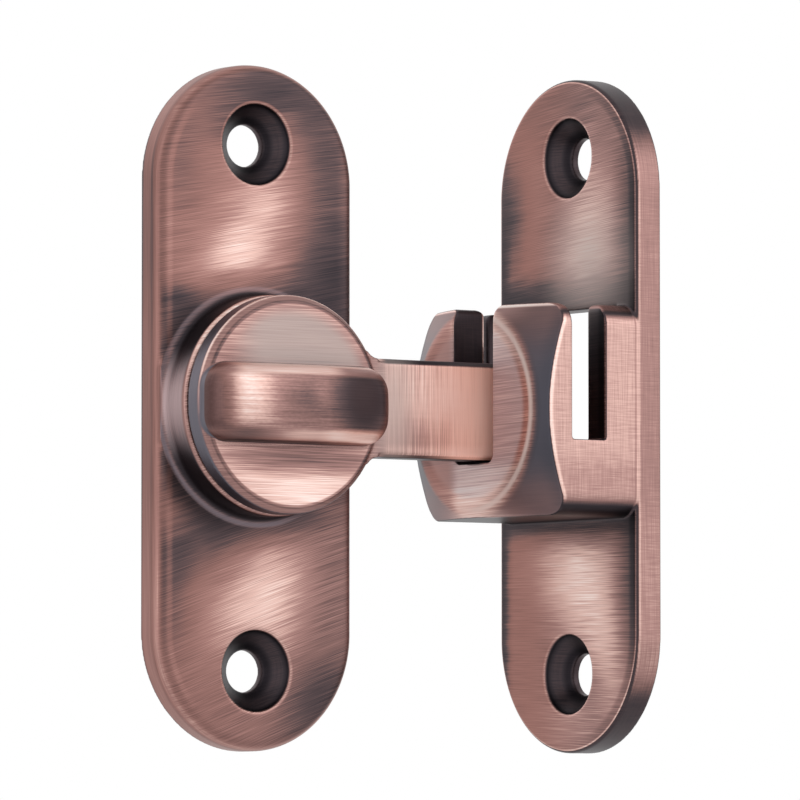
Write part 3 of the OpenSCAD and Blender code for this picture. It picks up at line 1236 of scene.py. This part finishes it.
    def finish(self) -> bpy.types.Material:
        """Gives the copper, with painted highlights brightest on the grip's near end and on the
        bar, and painted shade in the seams.

        Returns:
            The material.
        """
        s = self.sizes
        copper = AntiqueCopper("antique_copper_flip_bar")
        bench = Bench(copper.name, Place.FRONT.matrix(s))
        x, y, n = bench.across, bench.up, bench.out
        front = bench.aim_out.soft(0.40, 0.72)
        past = x.soft(*self.bar_from)
        before_head = x.fade(s.bar_l - 0.6, s.bar_l)
        # Painted highlight along the disc's rim, stronger towards the top.
        rim = n.line(s.disc_front - self.disc_edge, 0.05, 0.28) \
            * (y * 0.08 + 0.55).soft(0.0, 1.2) * (1.0 - past)
        grip = (n - (s.disc_front + 0.15)).soft(0.0, 0.25) * y.size().fade(5.2, 5.5) \
            * x.fade(14.1, 14.4)
        # Faces that do not look forward: painted lighter where they look up.
        tone = bench.aim_up * 0.12 + self.shaft_tone - past * 0.22
        tone = tone.toward(self.fronts(bench, past), front).toward(self.disc_rim_highlight_tone, rim)
        tone = tone.toward(self.grip_front(bench), grip)
        # Painted shade in the seams where the grip, disc and bar meet.
        tone = tone.toward(self.seam_shadow_tone, bench.open_sky(1.6).fade(0.45, 0.80))
        tone = tone.toward(self.head_tone, x.soft(s.bar_l - 0.2, s.bar_l + 0.2))
        lines = copper.strokes(bench, Way.ACROSS, Way.OUT).toward(
            copper.strokes(bench, Way.UP, Way.OUT), past)
        lines = copper.round_sides(bench, lines, copper.strokes(bench, Way.UP, Way.ACROSS) * 0.5)
        lines = lines * (1.0 - grip * 0.35 + past * 0.2)
        # Grey tint on the disc's upper part, and a painted grey reflection on the bar just past the
        # grip.
        upper_disc = y.soft(3.5, 6.5) * bench.round_axis.fade(11.0, 13.2) * x.soft(-11.0, -4.0)
        grey = (upper_disc + bench.patch((16.2, 0.0), (5.5, 14.0))) * front * (1.0 - grip)
        # Painted bright ruddy highlight towards the bar's far end.
        glow = past * (x.soft(20.0, 29.0) * 0.78 + 0.08) * front * before_head * y.fade(5.6, 6.0)
        wall = (1.0 - front) * (1.0 - past) * (1.0 - rim) * (1.0 - grip) * 0.8
        # Painted dark brown reflection on the grip's left end and its dark patch.
        grip_dark_reflection_tint = grip * (x.fade(-13.6, -9.0) * 0.25 + bench.patch(*self.grip_dark_reflection) * 0.07)
        # Painted ruddy highlight on the grip's lower right flank.
        grip_ruddy_highlight = grip * (-bench.aim_up).soft(0.30, 0.60) * x.soft(2.0, 8.0) * 0.35
        films = ((grey.smaller(1.0) * 0.85, copper.tarnish_and_reflection), (glow, copper.ruddy_highlight),
                 (wall, copper.steel_grey), (grip_dark_reflection_tint, copper.brown), (grip_ruddy_highlight, copper.ruddy_highlight))
        bloom = past * x.soft(21.0, 29.5) * front * before_head * 0.85
        return copper.make(bench, tone, lines, films, bloom)

    def disc(self) -> BMesh:
        """Gives the disc.

        Returns:
            The solid.
        """
        s = self.sizes
        return lathe([(0, s.disc_back), (self.disc_r, s.disc_back),
                      (self.disc_r, s.disc_front - self.disc_edge),
                      (self.disc_r - self.disc_edge, s.disc_front), (0, s.disc_front)], steps=360)

    def grip(self) -> BMesh:
        """Gives the loaf-shaped grip: all its upper edges are rounded, and its top is crowned.

        Returns:
            The solid.
        """
        s = self.sizes
        half, side = self.grip_l / 2, self.grip_w / 2
        low, top = s.disc_front - 3, s.disc_front + self.grip_h
        solid = slab(Vector((-half, -side, low)), Vector((half, side, top)), self.grip_corner_r)
        rim = [e for e in solid.edges if all(v.co.z > top - 1e-4 for v in e.verts)]
        soften(solid, rim, self.grip_edge_r, segments=12)
        for way, reach in ((Vector((1, 0, 0)), half), (Vector((0, 1, 0)), side)):
            for step in range(1 - self.grip_cuts, self.grip_cuts):
                bmesh.ops.bisect_plane(solid, geom=[*solid.verts, *solid.edges, *solid.faces],
                                       plane_co=way * reach * step / self.grip_cuts, plane_no=way)
        for vert in solid.verts:
            if vert.co.z > low + 1:
                vert.co.z -= (self.grip_drop * (vert.co.x / half) ** 2
                              + self.grip_rise * (vert.co.y / side) ** 2)
        return solid

    def bar(self, start: float, end: float, low: float) -> BMesh:
        """Gives a strip of the bar with bevelled front edges.

        Args:
            start: distance of its near end from the pivot axis.
            end: distance of its far end.
            low: level of its back.

        Returns:
            The strip.
        """
        s = self.sizes
        half = s.bar_h / 2
        b = self.bar_bevel
        section = [(-half, low), (half, low), (half, s.bar_front - b), (half - b, s.bar_front),
                   (-half + b, s.bar_front), (-half, s.bar_front - b)]
        along = Matrix.Translation((start, 0, 0)) @ Matrix.Rotation(math.pi / 2, 4, "Z") \
            @ Matrix.Rotation(math.pi / 2, 4, "X")
        return turned(prism(section, 0, end - start), along)

    def blends(self) -> list[BMesh]:
        """Gives the hollow curves between the disc's rim and the bar.

        Returns:
            The solids, one for each side of the bar.
        """
        s = self.sizes
        r = self.bar_blend_r
        reach = math.sqrt((self.disc_r + r) ** 2 - (s.bar_h / 2 + r) ** 2)
        touch = math.degrees(math.atan2(s.bar_h / 2 + r, reach))
        made = []
        for side in (-1, 1):
            curve = arc(reach, s.bar_h / 2 + r, r, 180 + touch, 270)
            inner = [(reach, s.bar_h / 4), (curve[0][0], s.bar_h / 4)]
            outline = [(x, side * y) for x, y in [*curve, *inner]]
            made.append(prism(outline, s.disc_back, s.bar_front))
        return made

    def head(self) -> BMesh:
        """Gives the hammer head.

        Returns:
            The solid.
        """
        s = self.sizes
        low = Vector((s.bar_l, -s.head_h / 2, s.bar_mid - self.head_w / 2))
        high = Vector((s.bar_l + self.head_t, s.head_h / 2, s.bar_mid + self.head_w / 2))
        return slab(low, high, self.head_corner_r, axis=0)

    def build(self) -> None:
        """Makes the finished flip bar."""
        s = self.sizes
        casting = Casting("flip_bar_cast", self.disc(), grain=0.13)
        casting.join(self.grip(), *self.blends(),
                     self.bar(self.disc_r / 2, self.bar_root + 1, s.disc_back),
                     self.bar(self.bar_root, s.bar_l + 1, s.bar_back), self.head())
        below, floor = s.disc_back - 3, s.disc_back + self.seat_depth
        casting.cut(lathe([(0, below), (self.seat_r, below), (self.seat_r, floor), (0, floor)],
                          steps=128))
        piece = casting.pour(Place.FRONT.matrix(s))
        stand_for(piece, self.finish(), "flip_bar", "turning")


@dataclass
class CatchPlate:
    """The right plate with its notched block: sizes, and tones from black to bare copper."""

    sizes: LatchSizes
    edge_r: float = 0.6
    block_edge_r: float = 3.0
    cheek_flat_r: float = 13.3
    cheek_slope: float = 30.0
    crest_r: float = 2.5
    notch_w: float = 8.8
    notch_r: float = 1.2
    notch_gap: float = 0.3
    arm_t: float = 4.2
    slot_l: float = 5.4
    slot_depth: float = 18.0
    slot_r: float = 0.3
    lip_r: float = 1.0
    floor_gap: float = 0.8
    brush_rise: float = 0.03
    brush_fan: float = 0.0018
    front_tone: float = 0.60
    left_edge_tone: float = 0.18
    side_tone: float = 0.71
    end_shade_tone: float = 0.24
    inner_tone: float = 0.22
    hollow_shade_tone: float = 0.10
    notch_edge_highlight_tone: float = 1.05
    cheek_tone: float = 0.76
    cone_tone: float = 0.20
    crest_highlight_tone: float = 0.90
    hatch: float = 0.33
    cheek_stroke: Point = (11.0, 0.13)
    far_side: Span = (-6.0, -3.0)
    # Painted highlights and painted shade on the front.
    painted_light_patches: tuple[Touch, ...] = (
        Touch((5.0, 24.0), (9.5, 16.0), 0.38, -8.0),
        Touch((4.0, 17.0), (11.0, 8.0), 0.30),
        Touch((-6.0, 42.0), (16.0, 9.0), -0.14, 14.0),
        Touch((-13.0, 27.0), (6.5, 14.0), -0.27),
        Touch((14.8, 25.0), (6.0, 18.0), -0.28),
        Touch((4.0, -23.0), (13.0, 15.0), 0.46, 6.0),
        Touch((9.5, -34.0), (6.5, 12.0), 0.26, 14.0),
        Touch((-5.0, -20.0), (10.0, 9.0), 0.20),
        Touch((15.5, -22.0), (7.0, 15.0), -0.34),
        Touch((0.0, -41.0), (14.0, 7.0), 0.16),
    )

    def front(self, bench: Bench, wander: Field) -> Field:
        """Gives the tone of the plate's front, with painted highlights, painted shade round the
        block and dark along its left edge.

        Args:
            bench: the bench of the piece's material.
            wander: broad brush marks.

        Returns:
            The tone.
        """
        u, v, edge = bench.across, bench.up, self.sizes.block_h / 2
        inset = bench.inset(self.sizes)
        flat = bench.add_painted_light(wander * 0.08 + self.front_tone, self.painted_light_patches)
        # Painted shade on the plate round the block, reaching a little further above it.
        near = (v.size() + wander * 2.5 - v.soft(0.0, 10.0) * 2.5).soft(edge - 1.5, edge + 5.0)
        left = (u + wander * 1.5).fade(-15.2, -12.0) * (1.0 - v.soft(20.0, 34.0) * 0.6)
        flat = (flat * (near * 0.66 + 0.34)).toward(self.left_edge_tone, left)
        # A darker line inside the right edge and a painted highlight line along the outline.
        return flat - inset.line(1.0, 0.2, 1.1) * 0.16 * u.soft(2.0, 10.0) \
            + inset.line(0.15, 0.15, 0.45) * 0.6

    def side(self, bench: Bench, block: Field) -> Field:
        """Gives the tone of the plate's edge and of the block's sides, with painted highlight lines
        along edges and painted shade on end faces and inner walls.

        Args:
            bench: the bench of the piece's material.
            block: 1 on the block and 0 on the plate.

        Returns:
            The tone.
        """
        s, u, down, n = self.sizes, bench.across, -bench.up, bench.out
        slope = math.tan(math.radians(self.cheek_slope))
        below_ridge = s.block_l - (bench.round_axis - self.cheek_flat_r) * slope - n
        # Painted highlight lines just below the cheek's cone edge and along the plate's front edge.
        tone = down.soft(8.0, 18.0) * 0.06 + self.side_tone \
            + block * (0.16 - down.soft(5.0, 9.0) * 0.08) \
            + below_ridge.line(0.3, 0.1, 0.5) * 0.22 + n.line(3.7, 0.15, 0.5) * 0.2
        # Faces that look up or down: painted shade.
        tone = tone.toward(self.end_shade_tone, bench.aim_across.size().fade(0.80, 0.98))
        # Inner walls of the arms: painted shade, lighter on the near wall.
        inner = u.size().fade(s.plate_w / 2 - 1.2, s.plate_w / 2 - 0.6) * block
        return tone.toward(u.soft(0.0, 3.0) * 0.5 + self.inner_tone, inner)

    def cheek(self, bench: Bench, wander: Field) -> Field:
        """Gives the tone of the block's front: flat middle, painted highlights on the crest and top
        edge, and a cone darkened as a painted dark reflection.

        Args:
            bench: the bench of the piece's material.
            wander: broad brush marks.

        Returns:
            The tone.
        """
        u, v, down, round_axis = bench.across, bench.up, -bench.up, bench.round_axis
        cheek = wander * 0.10 + self.cheek_tone + v.size().soft(5.0, 11.0) * 0.34 \
            - u.fade(*self.far_side) * 0.38
        # The cone: a painted dark reflection, lighter towards its top and bottom.
        cone = v.soft(2.0, 13.0) * 0.30 + self.cone_tone + down.soft(5.0, 12.0) * 0.32 \
            - u.size().soft(13.0, 15.4) * 0.10
        # Painted highlights low in the middle of the cone and at its upper right.
        cone = cone + bench.patch((0.0, -14.5), (14.0, 4.5)) * 0.60 \
            + bench.patch((6.5, 14.5), (6.0, 5.0)) * 0.30
        # Painted highlight along the crest.
        crest = round_axis.line(12.6, 0.1, 1.4) * (u * 0.08 + 0.6).soft(0.0, 0.8)
        front = cheek.toward(cone, round_axis.soft(12.9, 14.4))
        front = front.toward(self.crest_highlight_tone, crest * (v.size().soft(2.0, 9.0) * 0.3 + 0.6))
        # A painted highlight line along the block's top edge.
        return front + v.line(13.85, 0.1, 0.4) * 0.6

    def finish(self) -> bpy.types.Material:
        """Gives the copper, with the cheek's cone darkened as painted dark reflection and film,
        painted shade under the block and in the cuts, and painted highlights on the crest and
        edges.

        Returns:
            The material.
        """
        s = self.sizes
        copper = AntiqueCopper("antique_copper_catch_plate")
        bench = Bench(copper.name, Place.CATCH.matrix(s))
        u, v, n, round_axis = bench.across, bench.up, bench.out, bench.round_axis
        tilt = v * self.brush_fan + self.brush_rise
        wander = bench.brushed(BROAD_MARK, tilt, detail=3.0)
        face = bench.aim_out.soft(0.80, 0.98)
        block = n.soft(s.plate_t + 0.1, s.plate_t + 0.4)
        cheek = (n - 9.5).soft(0.0, 1.0) * bench.aim_out.soft(0.55, 0.80)
        flat_cheek = cheek * round_axis.fade(10.8, 12.0)
        cone = cheek * round_axis.soft(13.4, 14.6)
        # Painted highlight on the crest and along the block's top edge.
        crest = cheek * round_axis.line(12.95, 0.08, 0.62) * (u * 0.10 + 0.5).soft(0.0, 0.8)
        crest = crest.larger(cheek * v.line(13.8, 0.1, 0.4) * u.soft(2.0, 5.0))
        # Painted shade under the block.
        below = (-v).soft(11.4, 13.9) * block * bench.aim_out.fade(0.5, 0.8) * n.fade(16.0, 19.0)
        # Painted highlight line along the notch's edges.
        notch_edge_highlight = n.line(s.block_l - s.cheek_t + 0.2, 0.08, 0.3) \
            * u.size().line(self.notch_w / 2, 0.2, 0.4) * v.soft(-4.0, 0.0)
        tone = self.side(bench, block).toward(self.front(bench, wander), face)
        tone = tone.toward(self.cheek(bench, wander), cheek).toward(self.hollow_shade_tone, below)
        # Painted shade in the hollows, partly the dark film left there.
        tone = tone.toward(self.hollow_shade_tone, bench.open_sky(4.0).fade(0.40, 0.80))
        tone = ScrewHole(s).darken(tone.toward(BACK_TONE, bench.back()))
        tone = tone.toward(self.notch_edge_highlight_tone, notch_edge_highlight)
        hatched = (copper.strokes(bench, Way.UP, Way.ACROSS, stroke=(6.0, 0.12))
                   + copper.strokes(bench, Way.OUT, Way.ACROSS, stroke=(3.0, 0.12))) * self.hatch
        level = copper.strokes(bench, Way.ACROSS, Way.OUT, tilt).toward(
            copper.strokes(bench, Way.ACROSS, Way.OUT, self.brush_rise, self.cheek_stroke), cheek)
        lines = copper.round_sides(bench, level, hatched)
        lines = lines * (1.0 - (cone + crest).smaller(1.0) * 0.80 + flat_cheek * 0.3)
        warm = face * (u - v.size() * 0.1).fade(-13.0, 1.0) * 0.65 * tone.soft(0.30, 0.55) \
            + flat_cheek * u.fade(*self.far_side) * 0.55
        patina = bench.patch((5.0, 20.0), (13.0, 14.0)) * face * 0.8
        pale = flat_cheek * (u.soft(*self.far_side) * 0.35 + 0.15)
        # Painted dark reflection on the cone, partly the dark film.
        grey = cone * (0.55 - v.soft(6.0, 13.0) * 0.35 - (-v).soft(6.0, 12.0) * 0.20)
        # Painted highlight colour on the crest.
        crest_highlight_share = crest * (0.85 - v.size().soft(5.0, 12.0) * 0.45)
        films = ((warm, copper.brown), (patina, copper.tarnish_and_reflection), (pale, copper.mauve),
                 (grey, copper.gunmetal), (crest_highlight_share, copper.highlight_colour))
        return copper.make(bench, tone, lines, films, flat_cheek * 0.6 + crest * 0.4)

    def block(self) -> BMesh:
        """Gives the block with its coned cheek.

        Returns:
            The solid, not yet notched.
        """
        s = self.sizes
        low = Vector((-s.plate_w / 2, -s.block_h / 2, 0.5))
        high = Vector((s.plate_w / 2, s.block_h / 2, s.block_l + 3))
        blank = slab(low, high, self.block_edge_r, steps=16)
        slope = math.radians(self.cheek_slope)
        bend = self.crest_r * math.tan(slope / 2)
        crest = arc(self.cheek_flat_r - bend, s.block_l - self.crest_r, self.crest_r,
                    90 - self.cheek_slope, 90)
        wide, below = s.plate_w, -8
        foot = (wide, s.block_l - (wide - self.cheek_flat_r) * math.tan(slope))
        cone = lathe([(0, below), (wide, below), foot, *crest, (0, s.block_l)], steps=360)
        return Casting("block", blank).keep_inside(cone).lump()

    def open_cut(self, width: float, floor: float, corner_r: float, low: float,
                 high: float) -> BMesh:
        """Gives a cut that is open at the block's top, with rounded lips.

        Args:
            width: width of the cut.
            floor: level of its bottom.
            corner_r: radius of its bottom corners.
            low: where it starts.
            high: where it ends.

        Returns:
            The cutter.
        """
        half, top, lip = width / 2, self.sizes.block_h / 2, self.lip_r
        right = [*arc(half - corner_r, floor + corner_r, corner_r, -90, 0, 8),
                 *arc(half + lip, top - lip, lip, 180, 90, 8), (half + lip, top + 2)]
        left = [(-x, y) for x, y in reversed(right)]
        return prism(right + left, low, high)

    def build(self) -> None:
        """Makes the finished catch plate."""
        s = self.sizes
        cheek_in = s.block_l - s.cheek_t
        half = s.plate_w / 2 - self.arm_t
        floor = -s.head_h / 2 - self.floor_gap
        window = slab(Vector((-half, floor, -2)), Vector((half, s.block_h / 2, cheek_in)))
        mouth = slab(Vector((-half, 0, s.plate_t)), Vector((half, s.block_h, cheek_in)))
        notch = self.open_cut(self.notch_w, -s.bar_h / 2 - self.notch_gap, self.notch_r,
                              cheek_in - 1, s.block_l + 2)
        slot = self.open_cut(self.slot_l, s.block_h / 2 - self.slot_depth, self.slot_r,
                             -s.plate_w / 2 - 2, s.plate_w / 2 + 2)
        across = Matrix.Rotation(math.pi / 2, 4, "Y") \
            @ Matrix.Translation((self.slot_l / 2 - cheek_in, 0, 0))
        casting = Casting("catch_plate_cast", stadium(s.plate_w, s.plate_h, s.plate_t, self.edge_r))
        casting.join(self.block()).cut(window, mouth, notch, turned(slot, across),
                                       *ScrewHole(s).cutters())
        piece = casting.pour(Place.CATCH.matrix(s))
        stand_for(piece, self.finish(), "catch_plate", "mounted")


class Pivot:
    """The hidden pieces of the pivot, which keep their CAD shapes."""

    FINISHES = {
        "bore_bush": PlainFinish("sintered_bronze", (0.55, 0.38, 0.20), 1.0, 0.45),
        "spring_washer": PlainFinish("spring_steel", (0.22, 0.22, 0.235), 1.0, 0.38),
        "spindle": PlainFinish("turned_steel", (0.56, 0.57, 0.59), 1.0, 0.30, (3.0, 3.0, 0.15)),
        "thrust_washer": PlainFinish("black_nylon", (0.03, 0.03, 0.033), 0.0, 0.5),
        "keyed_washer": PlainFinish("zinc_plate_washer", (0.55, 0.56, 0.57), 1.0, 0.35),
        "retaining_screw": PlainFinish("zinc_plate_screw", (0.60, 0.60, 0.58), 1.0, 0.32),
    }

    def dress_all(self) -> None:
        """Gives each hidden piece its finish."""
        for node, finish in self.FINISHES.items():
            dress(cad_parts[node], finish.make())
            log.info("%s: CAD shape with %s", node, finish.name)


@dataclass(frozen=True)
class Lamp:
    """A soft rectangular lamp.

    Attributes:
        name: its name.
        place: where it stands, in metres.
        size: its width and height, in metres.
        power: its power, in watts.
    """

    name: str
    place: Triple
    size: Point
    power: float

    def light(self, aim: Vector) -> None:
        """Puts the lamp in the scene.

        Args:
            aim: the point that it faces.
        """
        data = bpy.data.lights.new(self.name, "AREA")
        data.shape = "RECTANGLE"
        data.size, data.size_y = self.size
        data.energy = self.power
        lamp = bpy.data.objects.new(self.name, data)
        bpy.context.scene.collection.objects.link(lamp)
        lamp.location = self.place
        lamp.rotation_mode = "QUATERNION"
        lamp.rotation_quaternion = (aim - Vector(self.place)).to_track_quat("-Z", "Y")


@dataclass
class Studio:
    """Camera, lamps, floor and background.

    Attributes:
        azimuth: direction of the camera, in degrees.
        elevation: height of the camera above the horizon, in degrees.
        lens: focal length, in millimetres.
        sensor: width of the sensor, in millimetres.
        frame_px: width and height of the picture, in pixels.
        scale: pixels per millimetre at the pivot.
        pivot_at: pixel of the pivot.
        aim: the point that the lamps face, in metres.
        lamps: the lamps.
        floor_half: half of the floor's width, in metres.
        floor_z: level of the floor, in metres.
        floor_share: share of plain white in the floor's look.
    """

    azimuth: float = -35.0
    elevation: float = -3.2
    lens: float = 360.0
    sensor: float = 36.0
    frame_px: float = 800.0
    scale: float = 7.62
    pivot_at: Point = (239.7, 408.5)
    aim: Triple = (0.02, -0.01, 0.0)
    lamps: tuple[Lamp, ...] = (
        Lamp("key", (0.30, -0.45, 0.22), (0.35, 0.45), 0.5),
        Lamp("side", (-0.55, -0.20, 0.10), (0.30, 0.50), 0.3),
        Lamp("back", (-0.10, 0.55, 0.25), (0.50, 0.40), 0.3),
    )
    floor_half: float = 6.0
    floor_z: float = -0.16
    floor_share: float = 0.9

    def camera(self) -> None:
        """Sets the camera so that the pivot falls on its pixel."""
        a, e = math.radians(self.azimuth), math.radians(self.elevation)
        back = Vector((math.sin(a) * math.cos(e), -math.cos(a) * math.cos(e), math.sin(e)))
        right = (-back).cross(Vector((0, 0, 1))).normalized()
        up = right.cross(-back)
        middle = self.frame_px / 2
        focal = self.lens / self.sensor * self.frame_px
        distance = focal / self.scale * MM
        aside = right * ((self.pivot_at[0] - middle) / focal * distance)
        above = up * ((middle - self.pivot_at[1]) / focal * distance)
        data = bpy.data.cameras.new("camera")
        data.lens = self.lens
        data.sensor_width = self.sensor
        data.clip_start, data.clip_end = 0.05, 50.0
        camera = bpy.data.objects.new("camera", data)
        bpy.context.scene.collection.objects.link(camera)
        camera.rotation_mode = "QUATERNION"
        camera.rotation_quaternion = (-back).to_track_quat("-Z", "Y")
        camera.location = back * distance - aside - above
        bpy.context.scene.camera = camera

    def background(self) -> None:
        """Makes a plain white surround, which is also the background."""
        world = bpy.data.worlds.new("studio")
        bpy.context.scene.world = world
        world.use_nodes = True
        tree = world.node_tree
        tree.nodes.clear()
        white = tree.nodes.new("ShaderNodeBackground")
        white.inputs["Color"].default_value = (1.0, 1.0, 1.0, 1.0)
        white.inputs["Strength"].default_value = 1.0
        output = tree.nodes.new("ShaderNodeOutputWorld")
        tree.links.new(white.outputs[0], output.inputs[0])

    def floor(self) -> None:
        """Lays a pale floor below the latch, which is only there for a camera above it."""
        solid = bmesh.new()
        bmesh.ops.create_grid(solid, x_segments=1, y_segments=1, size=self.floor_half)
        bmesh.ops.translate(solid, verts=solid.verts, vec=(0, 0, self.floor_z))
        floor = as_object("floor", solid)
        bench = Bench("pale_floor", Place.FRONT.matrix(LatchSizes()))
        matte = bench.node("BsdfPrincipled", {"Base Color": (0.9, 0.9, 0.9), "Roughness": 0.9})
        glow = bench.node("Emission", {"Color": (1.0, 1.0, 1.0)})
        path = bench.node("LightPath").outputs
        seen, mirrored, through = (Field(bench, path[name]) for name in
                                   ("Is Camera Ray", "Is Glossy Ray", "Is Transmission Ray"))
        share = seen.larger(mirrored).larger(through) * self.floor_share
        pale = bench.node("MixShader", {0: share, 1: matte.outputs[0], 2: glow.outputs[0]})
        beneath = bench.node("NewGeometry").outputs["Backfacing"]
        clear = bench.node("BsdfTransparent").outputs[0]
        look = bench.node("MixShader", {0: beneath, 1: pale.outputs[0], 2: clear})
        bench.node("OutputMaterial", {0: look.outputs[0]})
        dress(floor, bench.material)

    def build(self) -> None:
        """Sets up the whole studio."""
        self.camera()
        self.background()
        self.floor()
        for lamp in self.lamps:
            lamp.light(Vector(self.aim))
        bpy.context.scene.view_settings.view_transform = "Standard"


def main() -> None:
    """Builds the latch and the studio."""
    logging.basicConfig(level=logging.INFO, format="%(name)s %(message)s")
    sizes = LatchSizes()
    KnobPlate(sizes).build()
    FlipBar(sizes).build()
    CatchPlate(sizes).build()
    Pivot().dress_all()
    Studio().build()


if __name__ == "__main__":
    main()
